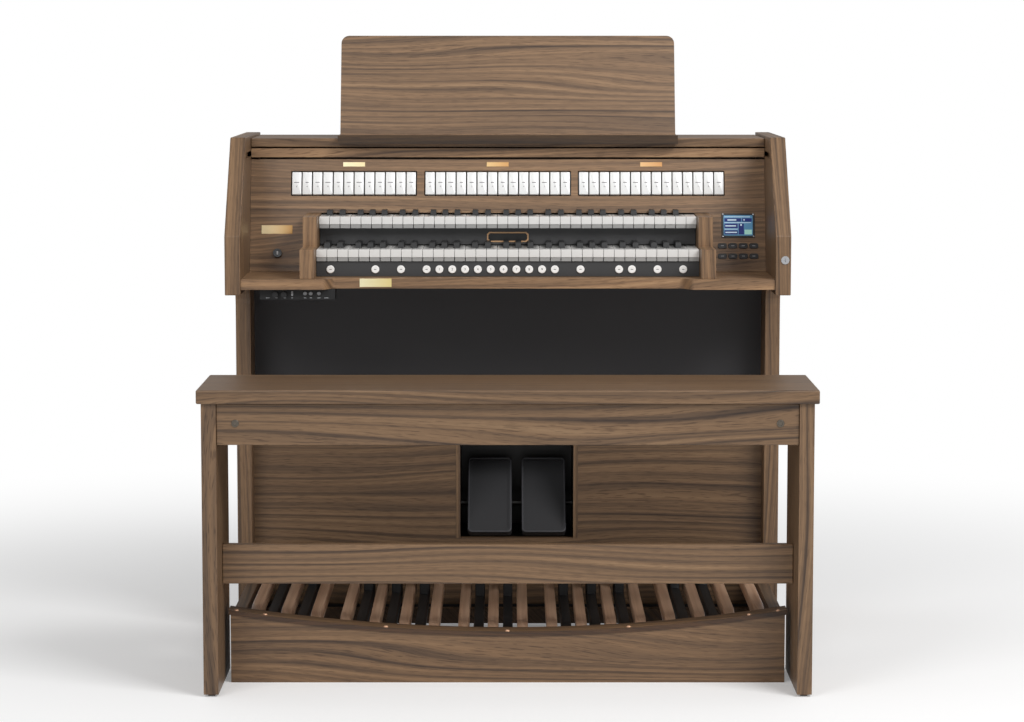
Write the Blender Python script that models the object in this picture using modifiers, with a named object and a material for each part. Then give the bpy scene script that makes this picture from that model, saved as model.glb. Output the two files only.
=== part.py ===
"""Two-manual church organ: console, thirty-note concave pedalboard and bench.

Units are metres, +Z is up and the player's side faces -Y. The origin is on the floor under the
middle of the whole. Run it with: blender --background --python part.py
"""
import math

import bmesh
import bpy
from mathutils import Matrix, Vector

# Gap between pieces that touch
SEAT_GAP = 0.0003

# Console case
CONSOLE_HALF_WIDTH = 0.618
SIDE_THICKNESS = 0.034
SIDE_INNER = CONSOLE_HALF_WIDTH - SIDE_THICKNESS
SPAN_HALF = SIDE_INNER - SEAT_GAP
CONSOLE_BACK = 0.520
SIDE_TOP = 1.130
SIDE_TOP_FRONT = 0.114
SIDE_NOSE_FRONT = -0.054
SIDE_NOSE_TOP = 0.920
SIDE_NOSE_BOTTOM = 0.791
SIDE_POST_FRONT = 0.202
SIDE_CORNER_RADIUS = 0.040
EDGE_ROUND = 0.0018

# Lid groove in the cheeks, and the lid that slides in it
GROOVE_DEPTH = 0.008
GROOVE_LOW = 1.083
GROOVE_HIGH = 1.0955
GROOVE_FRONT = 0.119
GROOVE_BACK = 0.5065
LID_HALF_WIDTH = 0.583
LID_FRONT = 0.250
LID_BACK = 0.500
LID_BOTTOM = 1.081
LID_TOP = 1.101
LID_PIN_RADIUS = 0.0055
LID_PIN_LENGTH = 0.007
LID_PIN_Y = 0.4935
LID_PIN_TAB = 0.010

# Top, back and key bed
TOP_FRONT = 0.250
TOP_BOTTOM = 1.104
TOP_UPPER = 1.124
REAR_THICKNESS = 0.016
REAR_BOTTOM = 0.050
BED_BOTTOM = 0.803
BED_TOP = 0.8256
BED_FRONT = -0.049
BED_RECESS = -0.012
BED_CURVE_OUTER = 0.407
BED_CURVE_INNER = 0.379
BED_BACK = 0.460

# Tilted stop panel: v runs up the slope from the foot of its front face
PANEL_FOOT_Y = 0.187
PANEL_FOOT_Z = 0.8262
PANEL_TILT = math.radians(15.45)
PANEL_THICKNESS = 0.018
PANEL_TOP_Z = 1.0765
PANEL_KEY_EDGE_Z = 0.9560
KEY_OPENING_HALF = 0.4557

# Stop tabs: left edge of each group and its number of tabs
TAB_GROUPS = ((-0.4902, 12), (-0.1872, 14), (0.1618, 14))
TAB_PITCH = 0.02365
TAB_WIDTH = 0.021
TAB_LENGTH = 0.0525
TAB_CENTRE_Z = 1.0220
TAB_PROUD = 0.0030
TAB_RAIL_THICKNESS = 0.004
WINDOW_BORDER = 0.0026
WINDOW_LENGTH = 0.0590
WINDOW_CORNER = 0.003

# Screen, menu buttons and power switch on the stop panel
SCREEN_U = 0.5222
SCREEN_Z = 0.9276
SCREEN_WIDTH = 0.0744
SCREEN_HEIGHT = 0.0553
SCREEN_PROUD = 0.0015
BUTTON_U = (0.4859, 0.5096, 0.5333, 0.5570)
BUTTON_Z = (0.8822, 0.8592)
BUTTON_WIDTH = 0.0196
BUTTON_HEIGHT = 0.0118
BUTTON_CORNER = 0.004
BUTTON_PROUD = 0.002
BOARD_THICKNESS = 0.003
SWITCH_U = -0.5214
SWITCH_Z = 0.8655
SWITCH_CAP_RADIUS = 0.010
SWITCH_STEM_RADIUS = 0.008
SWITCH_TRAVEL = 0.002

# Key lock in the right cheek
LOCK_X = 0.605
LOCK_Z = 0.8683
LOCK_RADIUS = 0.0075
LOCK_FLANGE_RADIUS = 0.0090
LOCK_DEPTH = 0.018

# Key blocks at the ends of the manuals
BLOCK_INNER = 0.4237
BLOCK_OUTER = 0.4552
BLOCK_FRONT = -0.039
BLOCK_STEP_FRONT = 0.069
BLOCK_STEP_Z = 0.8894
BLOCK_TOP = 0.955
BLOCK_BACK = 0.300

# Manuals: 36 naturals and 25 sharps each
NATURAL_PITCH = 0.0235
NATURAL_COUNT = 36
NATURAL_GAP = 0.0010
NATURAL_HEAD = 0.050
NATURAL_THICKNESS = 0.017
NATURAL_FRONT_DROP = 0.026
NATURAL_LIP = 0.003
TAIL_INSET = 0.0002
SHARP_WIDTH = 0.0115
SHARP_TOP_WIDTH = 0.0092
SHARP_RISE = 0.012
SHARP_SLOPE = 0.006
SHARP_OFFSETS = {0: -0.0026, 1: 0.0026, 3: -0.0036, 4: 0.0, 5: 0.0036}
FRAME_HALF = 0.4229
FRAME_THICKNESS = 0.025
LOWER_TOP = 0.886
LOWER_FRONT = 0.027
LOWER_SHARP_END = 0.1585
LOWER_BACK = 0.300
LOWER_FRAME_FRONT = 0.0625
UPPER_TOP = 0.9524
UPPER_FRONT = 0.1346
UPPER_SHARP_END = 0.2220
UPPER_BACK = 0.400
UPPER_FRAME_FRONT = 0.168
SLIP_FRONT = 0.160
SLIP_BACK = 0.172
SLIP_BOTTOM = 0.888
SLIP_TOP = 0.925
RUNNER_X = (-0.400, 0.0, 0.400)
RUNNER_WIDTH = 0.020

# Piston rail and the positions of its pistons
RAIL_FRONT = 0.032
RAIL_BACK = 0.060
RAIL_TOP = 0.8594
PISTON_Z = 0.842
PISTON_RADIUS = 0.00875
PISTON_PROUD = 0.0030
PISTON_PITCH = 0.02835
PISTON_GROUPS = ((-0.3918, 1), (-0.2927, 1), (-0.2361, 1), (-0.1795, 11), (0.1606, 1), (0.2459, 2), (0.3309, 1),
                 (0.3875, 1))

# Jack panel under the key bed
JACK_LEFT = -0.5434
JACK_RIGHT = -0.3791
JACK_FRONT = -0.030
JACK_BACK = 0.035
JACK_BOTTOM = 0.7800
JACK_KNOB_X = (-0.5094, -0.4903)
JACK_KNOB_RADIUS = 0.0065
JACK_KNOB_LENGTH = 0.010

# Knee panel, toe panel and the box with the swell shoes
KNEE_FRONT = 0.300
KNEE_THICKNESS = 0.012
TOE_FRONT = 0.255
TOE_THICKNESS = 0.018
TOE_BOTTOM = 0.050
TOE_TOP = 0.500
TOE_LEDGE_THICKNESS = 0.011
SHOE_BAY_LEFT = -0.1095
SHOE_BAY_RIGHT = 0.1508
SHOE_BAY_BOTTOM = 0.204
SHOE_BAY_TOP = 0.478
SHOE_BAY_BACK = 0.480
BOX_WALL = 0.010
SHOE_LEFTS = {"left_swell_shoe": -0.0928, "right_swell_shoe": 0.0323}
SHOE_WIDTH = 0.102
SHOE_LENGTH = 0.2215
SHOE_THICKNESS = 0.013
SHOE_PITCH = math.radians(43.0)
SHOE_RIM = 0.008
SHOE_TREAD_DEPTH = 0.0025
SHOE_CORNER = 0.010
SHOE_TOE_Y = 0.262
SHOE_TOE_Z = 0.2165
SHOE_AXLE_RADIUS = 0.006
SHOE_BORE_RADIUS = 0.0065
SHOE_EAR_WIDTH = 0.044
SHOE_AXLE_DROP = 0.018

# Music desk
DESK_HALF = 0.3825
DESK_LEDGE_HALF = 0.385
DESK_TOP = 1.354
DESK_LEDGE_TOP = 1.131
DESK_LEDGE_FRONT = 0.225
DESK_LIP_BACK = 0.2450
DESK_LIP_BOTTOM = 1.112
DESK_FOOT_Y = 0.285
DESK_LEAN = 0.075
DESK_THICKNESS = 0.012
DESK_CORNER = 0.018
DESK_BASE_BACK = 0.345
DESK_BRACKET_X = (-0.250, 0.250)
DESK_BRACKET_WIDTH = 0.018

# Bench
SEAT_HALF = 0.6355
SEAT_FRONT = -0.520
SEAT_BACK = -0.231
SEAT_BOTTOM = 0.6081
SEAT_TOP = 0.6366
LEG_OUTER = 0.626
LEG_INNER = 0.5956
LEG_FRONT = -0.512
LEG_BACK = -0.250
GLIDE_HEIGHT = 0.005
GLIDE_INSET = 0.008
TOP_RAIL_BOTTOM = 0.5227
TOP_RAIL_FRONT = -0.508
TOP_RAIL_THICKNESS = 0.022
FOOT_RAIL_BOTTOM = 0.217
FOOT_RAIL_TOP = 0.300
FOOT_RAIL_FRONT = -0.405
FOOT_RAIL_THICKNESS = 0.022

# Pedalboard: the tops follow one concave arc
ARC_RADIUS = 3.75
HEEL_HALF = 0.5825
HEEL_FRONT = -0.370
HEEL_THICKNESS = 0.024
CAP_HALF = 0.5865
CAP_FRONT = -0.372
CAP_BACK = -0.322
CAP_THICKNESS = 0.010
CAP_CENTRE_TOP = 0.109
CHEEK_THICKNESS = 0.025
CHEEK_FRONT = -0.3455
CHEEK_BACK = 0.240
CHEEK_TOP = 0.1400
PIVOT_RAIL_FRONT = -0.3215
PIVOT_RAIL_BACK = -0.285
REAR_RAIL_FRONT = 0.215
REAR_RAIL_BOTTOM = 0.012
REAR_RAIL_TOP = 0.046
PEDAL_PITCH = 0.0627
PEDAL_COUNT = 18
PEDAL_CENTRE_TOP = 0.1126
PEDAL_HEEL = -0.320
PEDAL_TOE = 0.200
PEDAL_PIVOT_Y = -0.310
PEDAL_PIVOT_DROP = 0.020
PEDAL_WIDTH = 0.023
PEDAL_DEPTH = 0.028
PEDAL_HEEL_RUN = 0.050
PEDAL_HEEL_DROP = 0.010
SHARP_PEDAL_WIDTH = 0.021
SHARP_PEDAL_STEP = 0.080
SHARP_PEDAL_LOW = 0.012
SHARP_PEDAL_HIGH = 0.046
SHARP_AFTER = (0, 1, 3, 4, 5)
NATURALS_PER_OCTAVE = 7

# Colours, linear RGB
WALNUT = (0.202, 0.127, 0.076)
WALNUT_DARK = (0.115, 0.069, 0.041)
PEDAL_WOOD = (0.262, 0.165, 0.109)
BLACK = (0.020, 0.020, 0.021)
CHARCOAL = (0.040, 0.040, 0.042)
KEY_WHITE = (0.82, 0.81, 0.78)
STEEL = (0.55, 0.55, 0.56)


def scene_collection(name):
    collection = bpy.data.collections.new(name)
    bpy.context.scene.collection.children.link(collection)
    return collection


for old in list(bpy.data.objects):
    bpy.data.objects.remove(old)
PARTS = scene_collection("church_organ")
CUTTERS = scene_collection("cutters")


def axes_frame(origin, u_axis, v_axis):
    """Matrix whose local x and y run along the two given directions from the origin."""
    u_dir = Vector(u_axis).normalized()
    v_dir = Vector(v_axis).normalized()
    w_dir = u_dir.cross(v_dir)
    turn = Matrix((u_dir, v_dir, w_dir)).transposed().to_4x4()
    return Matrix.Translation(origin) @ turn


def front_frame(y_centre):
    """Outline drawn in X and Z, thick along Y."""
    return axes_frame((0, y_centre, 0), (1, 0, 0), (0, 0, 1))


def side_frame(x_centre):
    """Outline drawn in Y and Z, thick along X."""
    return axes_frame((x_centre, 0, 0), (0, 1, 0), (0, 0, 1))


def plan_frame(z_centre):
    """Outline drawn in X and Y, thick along Z."""
    return Matrix.Translation((0, 0, z_centre))


PANEL_FRAME = axes_frame((0, PANEL_FOOT_Y, PANEL_FOOT_Z), (1, 0, 0),
                         (0, math.sin(PANEL_TILT), math.cos(PANEL_TILT)))


def panel_v(height):
    """Distance up the stop panel's front face for a height above the floor."""
    return (height - PANEL_FOOT_Z) / math.cos(PANEL_TILT)


def paint(obj, colour, roughness, metallic=0.0):
    material = bpy.data.materials.new(obj.name)
    material.use_nodes = True
    shader = material.node_tree.nodes["Principled BSDF"]
    shader.inputs["Base Color"].default_value = (*colour, 1.0)
    shader.inputs["Roughness"].default_value = roughness
    shader.inputs["Metallic"].default_value = metallic
    obj.data.materials.clear()
    obj.data.materials.append(material)


def mesh_object(name, mesh, frame, collection):
    obj = bpy.data.objects.new(name, mesh)
    collection.objects.link(obj)
    obj.matrix_world = frame
    if collection is CUTTERS:
        obj.hide_render = True
        obj.display_type = "WIRE"
    return obj


def outline_solid(name, loops, thickness, frame, collection=None):
    """Flat outline, with any inner loops as holes, made thick on both sides of the frame's plane."""
    curve = bpy.data.curves.new(name, "CURVE")
    curve.dimensions = "2D"
    curve.fill_mode = "BOTH"
    curve.extrude = thickness / 2
    for loop in loops:
        spline = curve.splines.new("POLY")
        spline.points.add(len(loop) - 1)
        for point, (u, v) in zip(spline.points, loop):
            point.co = (u, v, 0, 1)
        spline.use_cyclic_u = True
    outline = bpy.data.objects.new(name + "_outline", curve)
    PARTS.objects.link(outline)
    bpy.context.view_layer.update()
    depsgraph = bpy.context.evaluated_depsgraph_get()
    mesh = bpy.data.meshes.new_from_object(outline.evaluated_get(depsgraph))
    bpy.data.objects.remove(outline)
    weld(mesh)
    return mesh_object(name, mesh, frame, collection or PARTS)


def weld(mesh):
    shape = bmesh.new()
    shape.from_mesh(mesh)
    bmesh.ops.remove_doubles(shape, verts=shape.verts, dist=1e-6)
    bmesh.ops.recalc_face_normals(shape, faces=shape.faces)
    shape.to_mesh(mesh)
    shape.free()


def boxes(name, corners, collection=None, frame=Matrix()):
    """One mesh with a box for each pair of opposite corners."""
    shape = bmesh.new()
    for low, high in corners:
        low = Vector(low)
        high = Vector(high)
        size = Matrix.Diagonal((*(high - low), 1.0))
        bmesh.ops.create_cube(shape, size=1.0, matrix=Matrix.Translation((low + high) / 2) @ size)
    mesh = bpy.data.meshes.new(name)
    shape.to_mesh(mesh)
    shape.free()
    return mesh_object(name, mesh, frame, collection or PARTS)


def rods(name, ends, radius, sides, collection=None, frame=Matrix()):
    """One mesh with a round rod for each pair of end points."""
    shape = bmesh.new()
    for start, end in ends:
        start = Vector(start)
        run = Vector(end) - start
        turn = run.to_track_quat("Z", "Y").to_matrix().to_4x4()
        bmesh.ops.create_cone(shape, cap_ends=True, segments=sides, radius1=radius, radius2=radius,
                              depth=run.length, matrix=Matrix.Translation(start + run / 2) @ turn)
    mesh = bpy.data.meshes.new(name)
    shape.to_mesh(mesh)
    shape.free()
    return mesh_object(name, mesh, frame, collection or PARTS)


def join(obj, operand, operation="UNION"):
    modifier = obj.modifiers.new(operand.name, "BOOLEAN")
    modifier.operation = operation
    modifier.object = operand


def soften(obj, width=EDGE_ROUND, segments=2):
    """Round every edge sharper than 35 degrees."""
    modifier = obj.modifiers.new("edge_round", "BEVEL")
    modifier.width = width
    modifier.segments = segments
    modifier.limit_method = "ANGLE"
    modifier.angle_limit = math.radians(35)


def arc(centre, radius, start, stop, steps):
    """Points on an arc, angles in degrees."""
    points = []
    for step in range(steps + 1):
        angle = math.radians(start + (stop - start) * step / steps)
        points.append((centre[0] + radius * math.cos(angle), centre[1] + radius * math.sin(angle)))
    return points


def rounded_rectangle(u_centre, v_centre, width, height, radius, steps=2):
    points = []
    for quarter, (u_sign, v_sign) in enumerate(((1, 1), (-1, 1), (-1, -1), (1, -1))):
        centre = (u_centre + u_sign * (width / 2 - radius), v_centre + v_sign * (height / 2 - radius))
        points += arc(centre, radius, quarter * 90, quarter * 90 + 90, steps)
    return points


def arc_rise(x):
    """How far the pedalboard's concave arc has risen at a distance from its middle."""
    return ARC_RADIUS - math.sqrt(ARC_RADIUS ** 2 - x ** 2)


def side_panels():
    """Cheeks cut from board, with a nose over the player's knees and a blind groove for the lid."""
    corner = (SIDE_POST_FRONT - SIDE_CORNER_RADIUS, SIDE_NOSE_BOTTOM - SIDE_CORNER_RADIUS)
    outline = [(CONSOLE_BACK, 0.0), (CONSOLE_BACK, SIDE_TOP), (SIDE_TOP_FRONT, SIDE_TOP),
               (SIDE_NOSE_FRONT, SIDE_NOSE_TOP), (SIDE_NOSE_FRONT, SIDE_NOSE_BOTTOM)]
    outline += arc(corner, SIDE_CORNER_RADIUS, 90, 0, 5)
    outline += [(SIDE_POST_FRONT, 0.0)]
    groove_radius = (GROOVE_HIGH - GROOVE_LOW) / 2
    groove_z = (GROOVE_HIGH + GROOVE_LOW) / 2
    groove = arc((GROOVE_FRONT + groove_radius, groove_z), groove_radius, 90, 270, 6)
    groove += arc((GROOVE_BACK - groove_radius, groove_z), groove_radius, -90, 90, 6)
    for name, side in (("left_side_panel", -1), ("right_side_panel", 1)):
        x_centre = side * (SIDE_INNER + CONSOLE_HALF_WIDTH) / 2
        panel = outline_solid(name, [outline], SIDE_THICKNESS, side_frame(x_centre))
        soften(panel)
        slot = outline_solid(name + "_groove", [groove], 2 * GROOVE_DEPTH,
                             side_frame(side * SIDE_INNER), CUTTERS)
        join(panel, slot, "DIFFERENCE")
        if side > 0:
            hole = rods("lock_hole", [((LOCK_X, SIDE_NOSE_FRONT - 0.01, LOCK_Z),
                                       (LOCK_X, SIDE_NOSE_FRONT + LOCK_DEPTH + 0.001, LOCK_Z))],
                        LOCK_RADIUS + SEAT_GAP, 20, CUTTERS)
            join(panel, hole, "DIFFERENCE")
        paint(panel, WALNUT, 0.45)


def top_panel():
    board = boxes("top_panel", [((-SPAN_HALF, TOP_FRONT, TOP_BOTTOM), (SPAN_HALF, CONSOLE_BACK, TOP_UPPER))])
    soften(board)
    paint(board, WALNUT, 0.45)


def rear_cover():
    """Plain back board under the top panel."""
    board = boxes("rear_cover", [((-SPAN_HALF, CONSOLE_BACK - REAR_THICKNESS, REAR_BOTTOM),
                                  (SPAN_HALF, CONSOLE_BACK, TOP_BOTTOM - SEAT_GAP))])
    paint(board, WALNUT_DARK, 0.6)


def key_bed():
    """Bed board whose front edge steps back between two S-curves."""
    steps = 8
    curve = []
    for step in range(steps + 1):
        share = step / steps
        ease = (1 - math.cos(math.pi * share)) / 2
        curve.append((BED_CURVE_OUTER + (BED_CURVE_INNER - BED_CURVE_OUTER) * share,
                      BED_FRONT + (BED_RECESS - BED_FRONT) * ease))
    outline = [(SPAN_HALF, BED_BACK), (-SPAN_HALF, BED_BACK), (-SPAN_HALF, BED_FRONT)]
    outline += [(-x, y) for x, y in curve]
    outline += [(x, y) for x, y in reversed(curve)]
    outline += [(SPAN_HALF, BED_FRONT)]
    bed = outline_solid("key_bed", [outline], BED_TOP - BED_BOTTOM, plan_frame((BED_TOP + BED_BOTTOM) / 2))
    paint(bed, WALNUT, 0.45)


def stop_panel():
    """Tilted board with the tab windows, screen and button holes, and the cut-out for the keys."""
    board_gap = 0.0005
    top = panel_v(PANEL_TOP_Z)
    foot = -0.012
    loops = [[(-SPAN_HALF, foot), (SPAN_HALF, foot), (SPAN_HALF, top), (-SPAN_HALF, top)]]
    for left, count in TAB_GROUPS:
        width = (count - 1) * TAB_PITCH + TAB_WIDTH
        loops.append(rounded_rectangle(left + width / 2, panel_v(TAB_CENTRE_Z),
                                       width + 2 * WINDOW_BORDER, WINDOW_LENGTH, WINDOW_CORNER))
    loops.append(rounded_rectangle(SCREEN_U, panel_v(SCREEN_Z), SCREEN_WIDTH + 2 * board_gap,
                                   SCREEN_HEIGHT + 2 * board_gap, 0.002))
    loops.append(arc((SWITCH_U, panel_v(SWITCH_Z)), SWITCH_STEM_RADIUS + SEAT_GAP, 0, 345, 23))
    frame = PANEL_FRAME @ Matrix.Translation((0, 0, -PANEL_THICKNESS / 2))
    panel = outline_solid("stop_panel", loops, PANEL_THICKNESS, frame)
    holes = []
    for height in BUTTON_Z:
        for u in BUTTON_U:
            holes.append(rounded_rectangle(u, panel_v(height), BUTTON_WIDTH + 2 * board_gap,
                                           BUTTON_HEIGHT + 2 * board_gap, BUTTON_CORNER))
    join(panel, outline_solid("button_holes", holes, 2 * PANEL_THICKNESS, frame, CUTTERS), "DIFFERENCE")
    trim = boxes("stop_panel_foot", [((-1, 0, 0.7), (1, 0.4, BED_TOP + SEAT_GAP))], CUTTERS)
    join(panel, trim, "DIFFERENCE")
    keys = boxes("key_opening", [((-KEY_OPENING_HALF, -0.1, 0.6), (KEY_OPENING_HALF, 0.5, PANEL_KEY_EDGE_Z))], CUTTERS)
    join(panel, keys, "DIFFERENCE")
    paint(panel, WALNUT, 0.45)


def stop_tabs():
    """Forty rocker tabs on one rail behind the panel, each proud at its lower end."""
    back = -PANEL_THICKNESS - 0.0005
    middle = panel_v(TAB_CENTRE_Z)
    reach = WINDOW_LENGTH / 2 + 0.008
    first = TAB_GROUPS[0][0]
    rail = boxes("stop_tabs", [((first - 0.012, middle - reach, back - TAB_RAIL_THICKNESS),
                                (-first + 0.012, middle + reach, back))], frame=PANEL_FRAME)
    shape = bmesh.new()
    for left, count in TAB_GROUPS:
        for index in range(count):
            low = Vector((left + index * TAB_PITCH, middle - TAB_LENGTH / 2, back - 0.001))
            high = Vector((low.x + TAB_WIDTH, middle + TAB_LENGTH / 2, 0.0004))
            size = Matrix.Diagonal((*(high - low), 1.0))
            made = bmesh.ops.create_cube(shape, size=1.0, matrix=Matrix.Translation((low + high) / 2) @ size)
            for vert in made["verts"]:
                if vert.co.z > 0 and vert.co.y < middle:
                    vert.co.z = TAB_PROUD
    mesh = bpy.data.meshes.new("tabs")
    shape.to_mesh(mesh)
    shape.free()
    tabs = mesh_object("tab_bodies", mesh, PANEL_FRAME, CUTTERS)
    join(rail, tabs)
    paint(rail, KEY_WHITE, 0.3)


def control_unit():
    """Circuit board behind the stop panel with the screen module and eight rubber buttons."""
    back = -PANEL_THICKNESS - 0.0005
    board = boxes("control_unit", [((0.468, panel_v(0.846), back - BOARD_THICKNESS),
                                    (0.576, panel_v(0.963), back))], frame=PANEL_FRAME)
    root = back - 0.001
    screen = outline_solid("screen_module", [rounded_rectangle(SCREEN_U, panel_v(SCREEN_Z), SCREEN_WIDTH,
                                                               SCREEN_HEIGHT, 0.0015)],
                           SCREEN_PROUD - root,
                           PANEL_FRAME @ Matrix.Translation((0, 0, (SCREEN_PROUD + root) / 2)), CUTTERS)
    join(board, screen)
    for row, height in enumerate(BUTTON_Z):
        for column, u in enumerate(BUTTON_U):
            outline = rounded_rectangle(u, panel_v(height), BUTTON_WIDTH, BUTTON_HEIGHT, BUTTON_CORNER)
            button = outline_solid(f"menu_button_{row}{column}", [outline], BUTTON_PROUD - root,
                                   PANEL_FRAME @ Matrix.Translation((0, 0, (BUTTON_PROUD + root) / 2)),
                                   CUTTERS)
            join(board, button)
    paint(board, CHARCOAL, 0.4)


def power_switch():
    """Round push switch: a cap in front of the panel on a stem that slides through it."""
    origin = PANEL_FRAME @ Vector((SWITCH_U, panel_v(SWITCH_Z), 0))
    frame = Matrix.Translation(origin) @ PANEL_FRAME.to_3x3().to_4x4()
    cap_back = SWITCH_TRAVEL + SEAT_GAP
    switch = rods("power_switch", [((0, 0, cap_back), (0, 0, cap_back + 0.003))], SWITCH_CAP_RADIUS, 28,
                  frame=frame)
    stem = rods("switch_stem", [((0, 0, -0.026), (0, 0, cap_back + 0.001))], SWITCH_STEM_RADIUS, 24,
                CUTTERS, frame)
    join(switch, stem)
    paint(switch, BLACK, 0.25)


def lid_lock():
    """Key barrel with a flange, free to turn in its hole in the right cheek."""
    frame = Matrix.Translation((LOCK_X, SIDE_NOSE_FRONT, LOCK_Z))
    barrel = rods("lid_lock_barrel", [((0, -0.0018, 0), (0, -SEAT_GAP, 0))], LOCK_FLANGE_RADIUS, 28,
                  frame=frame)
    plug = rods("lock_plug", [((0, -0.001, 0), (0, LOCK_DEPTH, 0))], LOCK_RADIUS - SEAT_GAP, 24, CUTTERS,
                frame)
    join(barrel, plug)
    keyway = boxes("keyway", [((-0.0007, -0.01, -0.0036), (0.0007, 0.006, 0.0036))], CUTTERS, frame)
    join(barrel, keyway, "DIFFERENCE")
    paint(barrel, STEEL, 0.25, 1.0)


def sliding_lid():
    """Flat lid parked under the top panel, with a guide pin in each cheek's groove."""
    lid = boxes("sliding_lid", [((-LID_HALF_WIDTH, LID_FRONT, LID_BOTTOM), (LID_HALF_WIDTH, LID_BACK, LID_TOP))])
    groove_z = (GROOVE_HIGH + GROOVE_LOW) / 2
    ends = []
    for side in (-1, 1):
        ends.append(((side * (LID_HALF_WIDTH - LID_PIN_TAB), LID_PIN_Y, groove_z),
                     (side * (LID_HALF_WIDTH + LID_PIN_LENGTH), LID_PIN_Y, groove_z)))
    pins = rods("lid_pins", ends, LID_PIN_RADIUS, 16, CUTTERS)
    join(lid, pins)
    paint(lid, WALNUT, 0.45)


def key_blocks():
    """Stepped wooden blocks that close the manuals' ends and carry the upper manual."""
    outline = [(BLOCK_BACK, BED_TOP + SEAT_GAP), (BLOCK_BACK, BLOCK_TOP), (BLOCK_STEP_FRONT, BLOCK_TOP),
               (BLOCK_STEP_FRONT, BLOCK_STEP_Z), (BLOCK_FRONT, BLOCK_STEP_Z),
               (BLOCK_FRONT, BED_TOP + SEAT_GAP)]
    for name, side in (("left_key_block", -1), ("right_key_block", 1)):
        block = outline_solid(name, [outline], BLOCK_OUTER - BLOCK_INNER,
                              side_frame(side * (BLOCK_OUTER + BLOCK_INNER) / 2))
        paint(block, WALNUT, 0.45)


def sharp_positions():
    """Gap number and centre of each sharp, counted from the gap after the first natural."""
    start = -NATURAL_PITCH * NATURAL_COUNT / 2
    found = []
    for gap in range(NATURAL_COUNT - 1):
        note = gap % NATURALS_PER_OCTAVE
        if note in SHARP_OFFSETS:
            found.append((gap, start + (gap + 1) * NATURAL_PITCH + SHARP_OFFSETS[note]))
    return found


def manual(name, front, top, sharp_end, back, frame_front, extras):
    """Key frame with 36 naturals and 25 sharps on it, and any further boxes of the frame."""
    bottom = top - NATURAL_THICKNESS
    frame_top = bottom + 0.001
    body = boxes(name, [((-FRAME_HALF, frame_front, frame_top - FRAME_THICKNESS), (FRAME_HALF, back, frame_top))])
    sharps = sharp_positions()
    clear = SHARP_WIDTH / 2 + NATURAL_GAP
    head_end = front + NATURAL_HEAD
    heads = []
    tails = []
    for index in range(NATURAL_COUNT):
        left = -NATURAL_PITCH * NATURAL_COUNT / 2 + index * NATURAL_PITCH + NATURAL_GAP / 2
        right = left + NATURAL_PITCH - NATURAL_GAP
        heads.append((left + right) / 2)
        left += TAIL_INSET
        right -= TAIL_INSET
        for gap, centre in sharps:
            if gap == index - 1:
                left = centre + clear
            if gap == index:
                right = centre - clear
        tails.append(((left, head_end - 0.002, bottom), (right, back, top - TAIL_INSET)))
    nose = 0.0015
    lip = front + NATURAL_LIP
    profile = [(head_end, top), (front + nose, top), (front + nose * 0.3, top - nose * 0.3),
               (front, top - nose), (front, bottom), (lip, bottom), (lip, top - NATURAL_FRONT_DROP),
               (head_end, top - NATURAL_FRONT_DROP)]
    master = outline_solid(name + "_head", [profile], NATURAL_PITCH - NATURAL_GAP, side_frame(0), CUTTERS)
    shape = bmesh.new()
    for centre in heads:
        piece = master.data.copy()
        piece.transform(Matrix.Translation((centre, 0, 0)) @ side_frame(0))
        shape.from_mesh(piece)
    mesh = bpy.data.meshes.new(name + "_heads")
    shape.to_mesh(mesh)
    shape.free()
    join(body, boxes(name + "_tails", tails, CUTTERS))
    join(body, mesh_object(name + "_heads", mesh, Matrix(), CUTTERS))
    bpy.data.objects.remove(master)
    join(body, sharp_keys(name, sharps, head_end + NATURAL_GAP, sharp_end, bottom, top + SHARP_RISE))
    if extras:
        join(body, boxes(name + "_frame", extras, CUTTERS))
    return body


def sharp_keys(name, sharps, front, back, bottom, top):
    """Sharps as blocks that taper upwards, with a sloped front."""
    shape = bmesh.new()
    for _gap, centre in sharps:
        size = Matrix.Diagonal((SHARP_WIDTH, back - front, top - bottom, 1.0))
        place = Matrix.Translation((centre, (front + back) / 2, (bottom + top) / 2))
        made = bmesh.ops.create_cube(shape, size=1.0, matrix=place @ size)
        for vert in made["verts"]:
            if vert.co.z > bottom + 0.001:
                vert.co.x = centre + (vert.co.x - centre) * SHARP_TOP_WIDTH / SHARP_WIDTH
                if vert.co.y < front + 0.001:
                    vert.co.y += SHARP_SLOPE
    mesh = bpy.data.meshes.new(name + "_sharps")
    shape.to_mesh(mesh)
    shape.free()
    return mesh_object(name + "_sharps", mesh, Matrix(), CUTTERS)


def manuals():
    runner_top = LOWER_TOP - NATURAL_THICKNESS - 0.020
    runners = []
    for x in RUNNER_X:
        runners.append(((x - RUNNER_WIDTH / 2, LOWER_FRAME_FRONT + 0.005, BED_TOP + SEAT_GAP),
                        (x + RUNNER_WIDTH / 2, LOWER_BACK - 0.005, runner_top)))
    lower = manual("lower_manual", LOWER_FRONT, LOWER_TOP, LOWER_SHARP_END, LOWER_BACK, LOWER_FRAME_FRONT,
                   runners)
    slip = [((-FRAME_HALF + 0.0005, SLIP_FRONT, SLIP_BOTTOM), (FRAME_HALF - 0.0005, SLIP_BACK, SLIP_TOP))]
    upper = manual("upper_manual", UPPER_FRONT, UPPER_TOP, UPPER_SHARP_END, UPPER_BACK, UPPER_FRAME_FRONT,
                   slip)
    paint(lower, KEY_WHITE, 0.3)
    paint(upper, KEY_WHITE, 0.3)


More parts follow.
